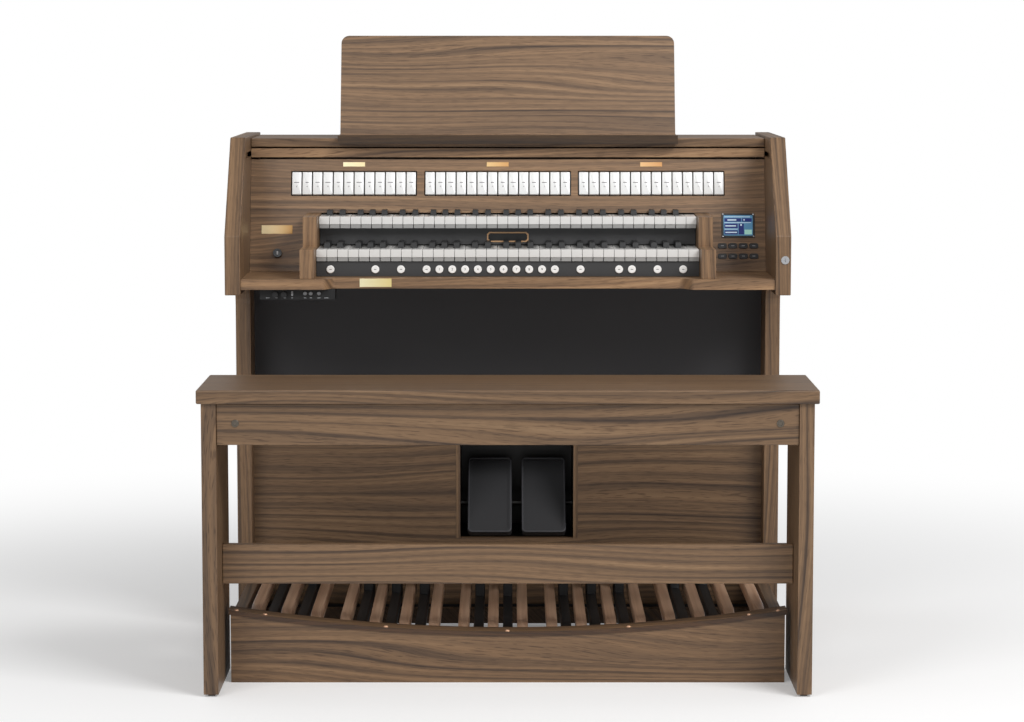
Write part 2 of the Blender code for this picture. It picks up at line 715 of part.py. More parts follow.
def piston_rail():
    """Black rail under the lower manual with nineteen round thumb pistons."""
    rail = boxes("piston_rail", [((-FRAME_HALF, RAIL_FRONT, BED_TOP + SEAT_GAP), (FRAME_HALF, RAIL_BACK, RAIL_TOP))])
    ends = []
    for start, count in PISTON_GROUPS:
        for index in range(count):
            x = start + index * PISTON_PITCH
            ends.append(((x, RAIL_FRONT - PISTON_PROUD, PISTON_Z), (x, RAIL_FRONT + 0.004, PISTON_Z)))
    join(rail, rods("pistons", ends, PISTON_RADIUS, 16, CUTTERS))
    paint(rail, BLACK, 0.4)


def jack_panel():
    """Socket box hung under the key bed, with two volume knobs."""
    box = boxes("jack_panel", [((JACK_LEFT, JACK_FRONT, JACK_BOTTOM), (JACK_RIGHT, JACK_BACK, BED_BOTTOM - SEAT_GAP))])
    knob_z = (JACK_BOTTOM + BED_BOTTOM) / 2
    ends = []
    for x in JACK_KNOB_X:
        ends.append(((x, JACK_FRONT - JACK_KNOB_LENGTH, knob_z), (x, JACK_FRONT + 0.002, knob_z)))
    join(box, rods("jack_knobs", ends, JACK_KNOB_RADIUS, 16, CUTTERS))
    paint(box, BLACK, 0.4)


def bay_opening(side, ends):
    """Rectangle of the shoe bay in X and Z, grown at its sides and at its top and bottom."""
    return [(SHOE_BAY_LEFT - side, SHOE_BAY_BOTTOM - ends), (SHOE_BAY_RIGHT + side, SHOE_BAY_BOTTOM - ends),
            (SHOE_BAY_RIGHT + side, SHOE_BAY_TOP + ends), (SHOE_BAY_LEFT - side, SHOE_BAY_TOP + ends)]


def knee_panel():
    """Black inner board from the floor to the key bed, cut out round the shoe box."""
    outer = [(-SPAN_HALF, 0.0), (SPAN_HALF, 0.0), (SPAN_HALF, BED_BOTTOM - SEAT_GAP),
             (-SPAN_HALF, BED_BOTTOM - SEAT_GAP)]
    margin = BOX_WALL + SEAT_GAP
    panel = outline_solid("knee_panel", [outer, bay_opening(margin, margin)], KNEE_THICKNESS,
                          front_frame(KNEE_FRONT + KNEE_THICKNESS / 2))
    paint(panel, BLACK, 0.7)


def toe_panel():
    """Walnut board above the pedals with the shoe opening, and a ledge back to the knee panel."""
    outer = [(-SPAN_HALF, TOE_BOTTOM), (SPAN_HALF, TOE_BOTTOM), (SPAN_HALF, TOE_TOP), (-SPAN_HALF, TOE_TOP)]
    panel = outline_solid("toe_panel", [outer, bay_opening(BOX_WALL + SEAT_GAP, 0.0)], TOE_THICKNESS,
                          front_frame(TOE_FRONT + TOE_THICKNESS / 2))
    ledge = boxes("toe_ledge", [((-SPAN_HALF, TOE_FRONT + TOE_THICKNESS / 2, TOE_TOP - TOE_LEDGE_THICKNESS),
                                 (SPAN_HALF, KNEE_FRONT - SEAT_GAP, TOE_TOP))], CUTTERS)
    join(panel, ledge)
    paint(panel, WALNUT, 0.45)


def shoe_axle_point():
    """Axle position in Y and Z: under the middle of the shoes."""
    along = SHOE_LENGTH / 2
    drop = SHOE_THICKNESS + SHOE_AXLE_DROP
    y = SHOE_TOE_Y + along * math.cos(SHOE_PITCH) + drop * math.sin(SHOE_PITCH)
    z = SHOE_TOE_Z + along * math.sin(SHOE_PITCH) - drop * math.cos(SHOE_PITCH)
    return y, z


def shoe_box():
    """Open-fronted box with the fixed axle of the swell shoes; its sides come flush with the toe panel."""
    behind = TOE_FRONT + TOE_THICKNESS + SEAT_GAP
    box = boxes("shoe_box", [((SHOE_BAY_LEFT - BOX_WALL, TOE_FRONT, SHOE_BAY_BOTTOM - BOX_WALL),
                              (SHOE_BAY_RIGHT + BOX_WALL, SHOE_BAY_BACK, SHOE_BAY_TOP + BOX_WALL))])
    hollow = boxes("shoe_box_hollow", [((SHOE_BAY_LEFT, 0.2, SHOE_BAY_BOTTOM),
                                        (SHOE_BAY_RIGHT, SHOE_BAY_BACK - BOX_WALL, SHOE_BAY_TOP))], CUTTERS)
    join(box, hollow, "DIFFERENCE")
    below = boxes("space_below_sides", [((-0.5, 0.2, 0.1), (0.5, behind, SHOE_BAY_BOTTOM + SEAT_GAP))], CUTTERS)
    above = boxes("space_above_sides", [((-0.5, 0.2, SHOE_BAY_TOP - SEAT_GAP), (0.5, behind, 0.6))], CUTTERS)
    join(box, below, "DIFFERENCE")
    join(box, above, "DIFFERENCE")
    y, z = shoe_axle_point()
    axle = rods("shoe_axle", [((SHOE_BAY_LEFT - BOX_WALL / 2, y, z), (SHOE_BAY_RIGHT + BOX_WALL / 2, y, z))],
                SHOE_AXLE_RADIUS, 20, CUTTERS)
    join(box, axle)
    paint(box, WALNUT_DARK, 0.6)


def swell_shoes():
    """Two tilted foot plates with a raised rim, each on an ear that turns on the axle."""
    axle_y, axle_z = shoe_axle_point()
    along = (0, math.cos(SHOE_PITCH), math.sin(SHOE_PITCH))
    drop = SHOE_THICKNESS + SHOE_AXLE_DROP
    for name, left in SHOE_LEFTS.items():
        x = left + SHOE_WIDTH / 2
        frame = axes_frame((x, axle_y, axle_z), (1, 0, 0), along)
        plate_frame = frame @ Matrix.Translation((0, 0, drop - SHOE_THICKNESS / 2))
        plate = outline_solid(name, [rounded_rectangle(0, 0, SHOE_WIDTH, SHOE_LENGTH, SHOE_CORNER, 4)],
                              SHOE_THICKNESS, plate_frame)
        tread = outline_solid(name + "_tread",
                              [rounded_rectangle(0, 0, SHOE_WIDTH - 2 * SHOE_RIM, SHOE_LENGTH - 2 * SHOE_RIM,
                                                 SHOE_CORNER - SHOE_RIM / 2, 2)],
                              2 * SHOE_TREAD_DEPTH, frame @ Matrix.Translation((0, 0, drop)), CUTTERS)
        join(plate, tread, "DIFFERENCE")
        ear_top = drop - SHOE_THICKNESS + 0.002
        radius = SHOE_BORE_RADIUS + 0.0065
        ear_outline = arc((0, 0), radius, 180, 360, 10) + [(radius + 0.012, ear_top), (-radius - 0.012, ear_top)]
        ear = outline_solid(name + "_ear", [ear_outline, arc((0, 0), SHOE_BORE_RADIUS, 0, 345, 23)],
                            SHOE_EAR_WIDTH, ear_frame(x, axle_y, axle_z), CUTTERS)
        join(plate, ear)
        set_origin(plate, (x, axle_y, axle_z))
        paint(plate, CHARCOAL, 0.55)


def ear_frame(x, y, z):
    """Ear outline drawn along the shoe and square to its face, thick along X."""
    return axes_frame((x, y, z), (0, math.cos(SHOE_PITCH), math.sin(SHOE_PITCH)),
                      (0, -math.sin(SHOE_PITCH), math.cos(SHOE_PITCH)))


def set_origin(obj, point):
    """Move an object's origin to a point without moving its shape."""
    bpy.context.view_layer.update()
    before = obj.matrix_world.copy()
    after = before.copy()
    after.translation = point
    obj.data.transform(after.inverted() @ before)
    obj.matrix_world = after


def music_desk():
    """Reclined rest on a ledge whose lip hangs in front of the top panel."""
    recline = math.atan2(DESK_LEAN, DESK_TOP - DESK_LEDGE_TOP)
    length = (DESK_TOP - DESK_LEDGE_TOP) / math.cos(recline) + 0.004
    foot = 0.002
    frame = axes_frame((0, DESK_FOOT_Y, DESK_LEDGE_TOP), (1, 0, 0), (0, math.sin(recline), math.cos(recline)))
    top_corners = arc((DESK_HALF - DESK_CORNER, length - foot - DESK_CORNER), DESK_CORNER, 0, 90, 5)
    top_corners += arc((-DESK_HALF + DESK_CORNER, length - foot - DESK_CORNER), DESK_CORNER, 90, 180, 5)
    outline = [(-DESK_HALF, -foot), (DESK_HALF, -foot)] + top_corners
    desk = outline_solid("music_desk", [outline], DESK_THICKNESS,
                         frame @ Matrix.Translation((0, 0, -DESK_THICKNESS / 2)))
    seat = TOP_UPPER + SEAT_GAP
    ledge_outline = [(DESK_BASE_BACK, seat), (DESK_BASE_BACK, DESK_LEDGE_TOP), (DESK_LEDGE_FRONT, DESK_LEDGE_TOP),
                     (DESK_LEDGE_FRONT, DESK_LIP_BOTTOM), (DESK_LIP_BACK, DESK_LIP_BOTTOM), (DESK_LIP_BACK, seat)]
    ledge = outline_solid("desk_ledge", [ledge_outline], 2 * DESK_LEDGE_HALF, side_frame(0), CUTTERS)
    join(desk, ledge)
    back_y = DESK_FOOT_Y + DESK_THICKNESS / math.cos(recline)
    bracket_outline = [(back_y - 0.004, DESK_LEDGE_TOP - 0.002), (DESK_BASE_BACK, DESK_LEDGE_TOP - 0.002),
                       (back_y + 0.100 * math.tan(recline) - 0.003, DESK_LEDGE_TOP + 0.100)]
    for index, x in enumerate(DESK_BRACKET_X):
        bracket = outline_solid(f"desk_bracket_{index}", [bracket_outline], DESK_BRACKET_WIDTH, side_frame(x), CUTTERS)
        join(desk, bracket)
    paint(desk, WALNUT, 0.45)


def bench():
    seat = boxes("bench_seat", [((-SEAT_HALF, SEAT_FRONT, SEAT_BOTTOM), (SEAT_HALF, SEAT_BACK, SEAT_TOP))])
    soften(seat, 0.003)
    paint(seat, WALNUT, 0.45)
    for name, side in (("bench_left_leg", -1), ("bench_right_leg", 1)):
        inner, outer = sorted((side * LEG_INNER, side * LEG_OUTER))
        leg = boxes(name, [((inner, LEG_FRONT, GLIDE_HEIGHT), (outer, LEG_BACK, SEAT_BOTTOM - SEAT_GAP))])
        glide = boxes(name + "_glide", [((inner + GLIDE_INSET, LEG_FRONT + 0.012, 0.0),
                                         (outer - GLIDE_INSET, LEG_BACK - 0.012, GLIDE_HEIGHT + 0.002))], CUTTERS)
        join(leg, glide)
        paint(leg, WALNUT, 0.45)
    half = LEG_INNER - SEAT_GAP
    top_rail = boxes("bench_top_rail", [((-half, TOP_RAIL_FRONT, TOP_RAIL_BOTTOM),
                                         (half, TOP_RAIL_FRONT + TOP_RAIL_THICKNESS, SEAT_BOTTOM - SEAT_GAP))])
    foot_rail = boxes("bench_foot_rail", [((-half, FOOT_RAIL_FRONT, FOOT_RAIL_BOTTOM),
                                           (half, FOOT_RAIL_FRONT + FOOT_RAIL_THICKNESS, FOOT_RAIL_TOP))])
    for rail in (top_rail, foot_rail):
        soften(rail)
        paint(rail, WALNUT, 0.45)


def concave_edge(half, height, steps=24):
    """Points from right to left along the pedalboard's arc, raised by a height at the middle."""
    points = []
    for step in range(steps + 1):
        x = half - 2 * half * step / steps
        points.append((x, height + arc_rise(x)))
    return points


def heel_board():
    """Board in front of the pedals' heels, its concave edge covered by a wide cap."""
    board_outline = [(-HEEL_HALF, 0.0), (HEEL_HALF, 0.0)]
    board_outline += concave_edge(HEEL_HALF, CAP_CENTRE_TOP - CAP_THICKNESS / 2)
    board = outline_solid("heel_board", [board_outline], HEEL_THICKNESS, front_frame(HEEL_FRONT + HEEL_THICKNESS / 2))
    under = concave_edge(CAP_HALF, CAP_CENTRE_TOP - CAP_THICKNESS)
    over = concave_edge(CAP_HALF, CAP_CENTRE_TOP)
    cap = outline_solid("heel_cap", [over + under[::-1]], CAP_BACK - CAP_FRONT,
                        front_frame((CAP_FRONT + CAP_BACK) / 2), CUTTERS)
    join(board, cap)
    paint(board, WALNUT, 0.45)


def pedal_frame():
    """Two cheeks joined by the pivot rail under the heels and a rail under the toes."""
    inner = HEEL_HALF - CHEEK_THICKNESS
    pivot_outline = [(-inner - 0.002, 0.010), (inner + 0.002, 0.010)]
    pivot_outline += concave_edge(inner + 0.002, PEDAL_CENTRE_TOP - 0.0425)
    frame = outline_solid("pedal_frame", [pivot_outline], PIVOT_RAIL_BACK - PIVOT_RAIL_FRONT,
                          front_frame((PIVOT_RAIL_FRONT + PIVOT_RAIL_BACK) / 2))
    cheeks = boxes("pedal_cheeks", [((-HEEL_HALF, CHEEK_FRONT, 0.0), (-inner, CHEEK_BACK, CHEEK_TOP)),
                                    ((inner, CHEEK_FRONT, 0.0), (HEEL_HALF, CHEEK_BACK, CHEEK_TOP))], CUTTERS)
    join(frame, cheeks)
    toe_rail = boxes("pedal_toe_rail", [((-inner - 0.002, REAR_RAIL_FRONT, REAR_RAIL_BOTTOM),
                                         (inner + 0.002, CHEEK_BACK - 0.001, REAR_RAIL_TOP))], CUTTERS)
    join(frame, toe_rail)
    paint(frame, WALNUT_DARK, 0.6)


def pedals():
    """Thirty pedals, each with its origin on its hinge at the heel."""
    heel = PEDAL_HEEL - PEDAL_PIVOT_Y
    toe = PEDAL_TOE - PEDAL_PIVOT_Y
    top = PEDAL_PIVOT_DROP
    steps = 5
    crown = []
    for step in range(steps + 1):
        share = step / steps
        crown.append((heel + PEDAL_HEEL_RUN * share, top - PEDAL_HEEL_DROP * (1 - share) ** 2))
    natural = [(heel, top - PEDAL_DEPTH)] + crown
    natural += arc((toe - 0.010, top - 0.010), 0.010, 90, 0, 3) + [(toe, top - PEDAL_DEPTH)]
    low = top - SHARP_PEDAL_LOW
    step_y = SHARP_PEDAL_STEP - PEDAL_PIVOT_Y
    high = top + SHARP_PEDAL_HIGH
    sharp = [(heel, low - PEDAL_DEPTH), (heel, low - 0.004), (heel + 0.006, low), (step_y, low)]
    sharp += arc((step_y + 0.022, high - 0.014), 0.014, 165, 90, 4)
    sharp += arc((toe - 0.012, high - 0.012), 0.012, 90, 0, 3) + [(toe, low - PEDAL_DEPTH)]
    number = 0
    shared = {}
    for index in range(PEDAL_COUNT):
        kinds = [("natural", index, natural, PEDAL_WIDTH, PEDAL_WOOD)]
        if index % NATURALS_PER_OCTAVE in SHARP_AFTER and index < PEDAL_COUNT - 1:
            kinds.append(("sharp", index + 0.5, sharp, SHARP_PEDAL_WIDTH, BLACK))
        for kind, slot, outline, width, colour in kinds:
            number += 1
            name = f"pedal_{number:02d}_{kind}"
            x = (slot - (PEDAL_COUNT - 1) / 2) * PEDAL_PITCH
            pivot_z = PEDAL_CENTRE_TOP + arc_rise(x) - PEDAL_PIVOT_DROP
            frame = axes_frame((x, PEDAL_PIVOT_Y, pivot_z), (0, 1, 0), (0, 0, 1))
            if kind in shared:
                mesh_object(name, shared[kind], frame, PARTS)
            else:
                pedal = outline_solid(name, [outline], width, frame)
                shared[kind] = pedal.data
                paint(pedal, colour, 0.4)


side_panels()
top_panel()
rear_cover()
key_bed()
stop_panel()
stop_tabs()
control_unit()
power_switch()
lid_lock()
sliding_lid()
key_blocks()
manuals()
piston_rail()
jack_panel()
knee_panel()
toe_panel()
shoe_box()
swell_shoes()
music_desk()
bench()
heel_board()
pedal_frame()
pedals()
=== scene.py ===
"""Looks of a two-manual church organ with its concave pedalboard and bench.

Lengths are metres, the player's side faces -Y and the floor is Z = 0. The script follows the organ
from its case to its keys, its small fittings, its pedals and its bench.
"""
import math

import bmesh
import bpy
import numpy as np
from mathutils import Matrix


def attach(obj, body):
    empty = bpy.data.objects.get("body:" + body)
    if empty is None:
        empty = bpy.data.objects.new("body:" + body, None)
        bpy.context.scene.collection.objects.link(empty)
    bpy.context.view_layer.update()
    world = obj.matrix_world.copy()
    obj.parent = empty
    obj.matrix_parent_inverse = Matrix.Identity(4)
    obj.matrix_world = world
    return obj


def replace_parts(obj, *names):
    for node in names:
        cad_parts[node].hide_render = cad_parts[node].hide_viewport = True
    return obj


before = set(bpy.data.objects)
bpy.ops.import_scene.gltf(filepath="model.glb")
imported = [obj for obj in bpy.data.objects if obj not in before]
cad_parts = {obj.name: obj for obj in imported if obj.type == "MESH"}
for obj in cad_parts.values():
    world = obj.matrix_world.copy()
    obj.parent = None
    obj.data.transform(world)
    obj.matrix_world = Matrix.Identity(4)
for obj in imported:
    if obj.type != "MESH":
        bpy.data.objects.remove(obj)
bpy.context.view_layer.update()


# Case boards: chipboard faced with sliced walnut veneer, cut so that the figure runs along each
# board, stained mid brown and sprayed with satin lacquer. The posts and legs have upright grain.

def srgb(code):
    """Linear RGBA of an sRGB hex code."""
    channels = [int(code[start:start + 2], 16) / 255 for start in (0, 2, 4)]
    linear = [c / 12.92 if c <= 0.04045 else ((c + 0.055) / 1.055) ** 2.4 for c in channels]
    return (*linear, 1.0)


def add_node(tree, kind, settings=None, **sockets):
    """Add a shader node with its settings; a socket is given a value or linked to another's output."""
    made = tree.nodes.new(kind)
    for name, value in (settings or {}).items():
        setattr(made, name, value)
    for name, value in sockets.items():
        socket = made.inputs[int(name[3:]) if name.startswith("at_") else name.replace("_", " ")]
        if isinstance(value, bpy.types.NodeSocket):
            tree.links.new(value, socket)
        else:
            socket.default_value = value
    return made


def start_material(name):
    """New material with its node tree and its Principled shader."""
    material = bpy.data.materials.new(name)
    material.use_nodes = True
    return material, material.node_tree, material.node_tree.nodes["Principled BSDF"]


def colour_ramp(tree, factor, stops):
    """Colour output of a ramp through (position, hex) stops."""
    made = add_node(tree, "ShaderNodeValToRGB", Fac=factor)
    elements = made.color_ramp.elements
    while len(elements) < len(stops):
        elements.new(0.5)
    for element, (position, code) in zip(elements, stops):
        element.position = position
        element.color = srgb(code)
    return made.outputs["Color"]


WALNUT_TONES = ("3f2e22", "6a523c", "87694c", "9c7e5e")


def board_directions(tree, grain):
    """Scalars along and across a board's grain. The one across follows each face round the board's
    edges; on a board with upright grain, depth counts on its side faces only."""
    place = add_node(tree, "ShaderNodeTexCoord").outputs
    axes = add_node(tree, "ShaderNodeSeparateXYZ", Vector=place["Object"]).outputs
    depth = axes["Y"]
    if grain == "z":
        facing_side = add_node(tree, "ShaderNodeSeparateXYZ", Vector=place["Normal"]).outputs["X"]
        share = add_node(tree, "ShaderNodeMath", {"operation": "ABSOLUTE"}, at_0=facing_side).outputs[0]
        depth = add_node(tree, "ShaderNodeMath", {"operation": "MULTIPLY"}, at_0=depth, at_1=share).outputs[0]
    pair = {"x": (depth, axes["Z"]), "y": (axes["X"], axes["Z"]), "z": (axes["X"], depth)}[grain]
    across = add_node(tree, "ShaderNodeMath", {"operation": "ADD"}, at_0=pair[0], at_1=pair[1]).outputs[0]
    return axes[grain.upper()], across


def stretched_noise(tree, along, across, seed, run, lines, detail, roughness):
    """Noise that repeats so many times per metre along and across the grain."""
    first = add_node(tree, "ShaderNodeMath", {"operation": "MULTIPLY_ADD"}, at_0=along, at_1=run, at_2=seed)
    second = add_node(tree, "ShaderNodeMath", {"operation": "MULTIPLY"}, at_0=across, at_1=lines)
    place = add_node(tree, "ShaderNodeCombineXYZ", X=first.outputs[0], Y=second.outputs[0], Z=seed * 0.37)
    return add_node(tree, "ShaderNodeTexNoise", Vector=place.outputs[0], Scale=1.0, Detail=detail,
                    Roughness=roughness).outputs["Fac"]


def walnut_veneer(name, grain, seed, tones=WALNUT_TONES, roughness=0.42, painted_light_and_tone_gain=1.0):
    """Sliced walnut. A noise bends the board's lines by up to 40 mm over a metre. Growth lines 20 mm
    apart follow them, nearly straight, and close into pointed arches here and there; streaks from
    7 mm down to 0.4 mm wide run between them, and short dark pores lie over all."""
    material, tree, shader = start_material(name)
    along, across = board_directions(tree, grain)
    bend = stretched_noise(tree, along, across, seed, 0.9, 6.5, 1.0, 0.4)
    bent = add_node(tree, "ShaderNodeMath", {"operation": "MULTIPLY_ADD"}, at_0=bend, at_1=0.16,
                    at_2=across).outputs[0]
    streaks = stretched_noise(tree, along, bent, seed + 3.1, 1.1, 130.0, 4.0, 0.62)
    wander = add_node(tree, "ShaderNodeMath", {"operation": "MULTIPLY_ADD"}, at_0=streaks, at_1=0.22,
                      at_2=seed).outputs[0]
    growth = add_node(tree, "ShaderNodeMath", {"operation": "MULTIPLY_ADD"}, at_0=bent, at_1=48.0,
                      at_2=wander).outputs[0]
    ring = add_node(tree, "ShaderNodeMath", {"operation": "FRACT"}, at_0=growth).outputs[0]
    line = colour_ramp(tree, ring, [(0.0, "000000"), (0.10, "606060"), (0.35, "bcbcbc"), (0.80, "a0a0a0"),
                                    (0.985, "707070")])
    strength = stretched_noise(tree, along, bent, seed + 7.7, 1.2, 22.0, 1.0, 0.5)
    figure = add_node(tree, "ShaderNodeMix", {"data_type": "FLOAT"}, at_0=strength, at_2=0.45, at_3=line).outputs[0]
    tone = add_node(tree, "ShaderNodeMix", {"data_type": "FLOAT"}, at_0=0.46, at_2=streaks, at_3=figure).outputs[0]
    base = colour_ramp(tree, tone, [(0.28, tones[0]), (0.40, tones[1]), (0.51, tones[2]), (0.64, tones[3])])
    pores = stretched_noise(tree, along, bent, seed + 5.3, 30.0, 1100.0, 1.0, 0.5)
    pore_tone = colour_ramp(tree, pores, [(0.34, "8d8178"), (0.44, "ffffff")])
    stained = add_node(tree, "ShaderNodeMix", {"data_type": "RGBA", "blend_type": "MULTIPLY"},
                       at_0=0.6, at_6=base, at_7=pore_tone).outputs[2]
    # Painted light and shade: the value is multiplied by a gain per board for how lit or shaded the board is, and
    # partly for its own tone.
    toned = add_node(tree, "ShaderNodeHueSaturation", Value=painted_light_and_tone_gain, Color=stained).outputs[0]
    tree.links.new(toned, shader.inputs["Base Color"])
    gloss = add_node(tree, "ShaderNodeMapRange", Value=streaks, To_Min=roughness - 0.06,
                     To_Max=roughness + 0.08).outputs[0]
    tree.links.new(gloss, shader.inputs["Roughness"])
    relief = add_node(tree, "ShaderNodeBump", Height=pores, Strength=0.12, Distance=0.0002).outputs[0]
    tree.links.new(relief, shader.inputs["Normal"])
    shader.inputs["IOR"].default_value = 1.5
    return material


def dress(node, material):
    """Give a CAD node its material."""
    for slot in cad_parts[node].material_slots:
        slot.material = material


# The number after each board's grain multiplies the value of its colour. It is mostly painted light and shade: above
# 1 on boards the light falls on (stop panel, lid, key bed, key blocks), below 1 on boards in shade or turned from the
# light (for example the toe panel in the bench's shadow, the bench's seat, rails and legs). Partly it is also the
# board's own tone.
CASE_BOARDS = {
    "left_side_panel": ("z", 0.92), "right_side_panel": ("z", 0.92), "top_panel": ("x", 0.95),
    "key_bed": ("x", 1.45), "stop_panel": ("x", 1.15), "toe_panel": ("x", 0.74),
    "sliding_lid": ("x", 1.35), "left_key_block": ("z", 1.2), "right_key_block": ("z", 1.2),
    "bench_seat": ("x", 0.79), "bench_left_leg": ("z", 0.85), "bench_right_leg": ("z", 0.85),
    "bench_top_rail": ("x", 0.80), "bench_foot_rail": ("x", 0.95),
}
for number, (board, (grain, painted_light_and_tone_gain)) in enumerate(CASE_BOARDS.items()):
    dress(board, walnut_veneer(f"walnut_veneer_{board}", grain, 4.3 * number + 1.0, painted_light_and_tone_gain=painted_light_and_tone_gain))


# Hidden boards: the back is stained dark, the pedal frame is slightly darker than the case, and the board
# behind the knees is painted matte black. The shoe box's front edges are veneered; behind them its walnut is
# darkened nearly to black, painted shade for the inside of the box.

STAINED_TONES = ("2a1e16", "382a1f", "433226", "4d3b2d")
FRAME_TONES = ("33261c", "55422f", "6b543f", "7c654e")
dress("rear_cover", walnut_veneer("stained_back_board", "x", 71.0, STAINED_TONES, 0.6))
dress("pedal_frame", walnut_veneer("walnut_pedal_frame", "y", 75.0, FRAME_TONES, 0.5))


def even_finish(name, code, roughness, metallic=0.0, mottle=0.05, grit_mm=1.0, relief=0.06):
    """Paint, moulding or plated metal: one colour that drifts slightly in tone over a hand's width,
    with grit of the given size in its gloss and relief."""
    material, tree, shader = start_material(name)
    position = add_node(tree, "ShaderNodeTexCoord").outputs["Object"]
    grit = add_node(tree, "ShaderNodeTexNoise", Vector=position, Scale=1000.0 / grit_mm, Detail=2.0).outputs["Fac"]
    drift = add_node(tree, "ShaderNodeTexNoise", Vector=position, Scale=9.0, Detail=3.0).outputs["Fac"]
    tone = add_node(tree, "ShaderNodeMapRange", Value=drift, To_Min=1 - mottle, To_Max=1 + mottle).outputs[0]
    colour = add_node(tree, "ShaderNodeHueSaturation", Value=tone, Color=srgb(code)).outputs[0]
    tree.links.new(colour, shader.inputs["Base Color"])
    gloss = add_node(tree, "ShaderNodeMapRange", Value=grit, To_Min=roughness - 0.04,
                     To_Max=roughness + 0.04).outputs[0]
    tree.links.new(gloss, shader.inputs["Roughness"])
    bump = add_node(tree, "ShaderNodeBump", Height=grit, Strength=relief, Distance=0.0002).outputs[0]
    tree.links.new(bump, shader.inputs["Normal"])
    shader.inputs["Metallic"].default_value = metallic
    return material


dress("knee_panel", even_finish("matte_black_paint", "3a393b", 0.7, grit_mm=0.8, relief=0.2))


def two_tone_board(name, grain, seed, edge_y, before, behind):
    """Veneer whose colour is multiplied by one hex in front of a depth and by another behind it."""
    material = walnut_veneer(name, grain, seed)
    tree = material.node_tree
    shader = tree.nodes["Principled BSDF"]
    veneer = shader.inputs["Base Color"].links[0].from_socket
    place = add_node(tree, "ShaderNodeTexCoord").outputs["Object"]
    depth = add_node(tree, "ShaderNodeSeparateXYZ", Vector=place).outputs["Y"]
    inside = add_node(tree, "ShaderNodeMath", {"operation": "GREATER_THAN"}, at_0=depth, at_1=edge_y).outputs[0]
    paint = add_node(tree, "ShaderNodeMix", {"data_type": "RGBA"}, at_0=inside, at_6=srgb(before),
                     at_7=srgb(behind)).outputs[2]
    both = add_node(tree, "ShaderNodeMix", {"data_type": "RGBA", "blend_type": "MULTIPLY"}, at_0=1.0,
                    at_6=veneer, at_7=paint)
    tree.links.new(both.outputs[2], shader.inputs["Base Color"])
    return material


# Painted shade: behind BOX_EDGE_Y the shoe box's colour is multiplied nearly to black for the shade inside it.
BOX_EDGE_Y = 0.2556
dress("shoe_box", two_tone_board("black_box_with_walnut_edges", "z", 79.0, BOX_EDGE_Y, "e6e6e6", "231e1b"))


# Heel board and music desk: veneered boards with a solid walnut edge, a cap along the heel board's concave top
# and a ledge along the desk's foot. Both edges are coloured darker than their boards: the heel board's cap as
# painted shade, the bench's shadow on it; the desk's ledge simply darker in front of its back edge.

CAP_FACE_Y = -0.3705
LEDGE_BACK_Y = 0.2452
# Painted shade: in front of CAP_FACE_Y the heel board's cap is multiplied darker for the bench's shadow on it. In
# front of LEDGE_BACK_Y the music desk's ledge is multiplied darker.
dress("heel_board", two_tone_board("walnut_heel_board_and_cap", "x", 91.0, CAP_FACE_Y, "9c8c7c", "f4f2f0"))
dress("music_desk", two_tone_board("walnut_desk_and_ledge", "x", 31.1, LEDGE_BACK_Y, "8f887b", "ffffff"))


# Keys: moulded white naturals with a rounded top edge and an overhanging front lip, and black sharps
# that taper upwards. Each manual sits on a stained frame; the upper one has a black slip below it.

NATURAL_PITCH = 0.0235
NATURAL_COUNT = 36
KEY_GAP = 0.0010
HEAD_LENGTH = 0.050
KEY_THICKNESS = 0.017
SHARP_HALF = 0.00575
SHARP_SPREAD = 0.0009
SHARP_OFFSETS = {0: -0.0026, 1: 0.0026, 3: -0.0036, 4: 0.0, 5: 0.0036}
MANUALS = {
    "lower_manual": {"front": 0.027, "top": 0.886, "sharp_end": 0.1585, "back": 0.300, "bed": 0.0625},
    "upper_manual": {"front": 0.1346, "top": 0.9524, "sharp_end": 0.2220, "back": 0.400, "bed": 0.168},
}


def carried_outline(outline, rings, taper=None):
    """A closed outline carried up through rings, each an (inset, height) pair, and closed by a flat
    face at both ends. Each corner moves inwards by the mitre of its two edges' normals:
    inset * (n1 + n2) / (1 + n1 . n2)."""
    points = np.asarray(outline, float)
    edge = np.roll(points, -1, axis=0) - points
    normal = np.stack([edge[:, 1], -edge[:, 0]], axis=1) / np.linalg.norm(edge, axis=1)[:, None]
    before = np.roll(normal, 1, axis=0)
    mitre = (normal + before) / (1 + np.sum(normal * before, axis=1))[:, None]
    rings = np.asarray(rings, float)
    ring_points = points[None] - rings[:, 0, None, None] * mitre[None]
    heights = np.broadcast_to(rings[:, 1, None, None], (len(rings), len(points), 1))
    verts = np.concatenate([ring_points, heights], axis=2).reshape(-1, 3)
    count = len(points)
    start = np.arange(len(rings) - 1)[:, None] * count
    here = start + np.arange(count)[None]
    after = start + (np.arange(count)[None] + 1) % count
    quads = np.stack([here, after, after + count, here + count], axis=2).reshape(-1, 4).tolist()
    last = (len(rings) - 1) * count
    return verts, quads + [list(range(count))[::-1], list(range(last, last + count))]


def gather(shapes):
    """One (verts, faces) pair from several."""
    verts, faces, total = [], [], 0
    for shape_verts, shape_faces in shapes:
        verts.append(shape_verts)
        faces += [[index + total for index in face] for face in shape_faces]
        total += len(shape_verts)
    return np.concatenate(verts), faces


def new_piece(name, shape, material, body, smooth_degrees=40):
    """Object from (verts, faces) in the row frame, shaded smooth below an angle, riding on a body."""
    verts, faces = shape
    mesh = bpy.data.meshes.new(name)
    mesh.from_pydata(np.asarray(verts).tolist(), [], faces)
    mesh.materials.append(material)
    mesh.set_sharp_from_angle(angle=math.radians(smooth_degrees))
    mesh.shade_smooth()
    mesh.set_sharp_from_angle(angle=math.radians(smooth_degrees))
    piece = bpy.data.objects.new(name, mesh)
    bpy.context.scene.collection.objects.link(piece)
    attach(piece, body)
    return piece


def box_outline(left, right, front, back):
    return [(left, front), (right, front), (right, back), (left, back)]


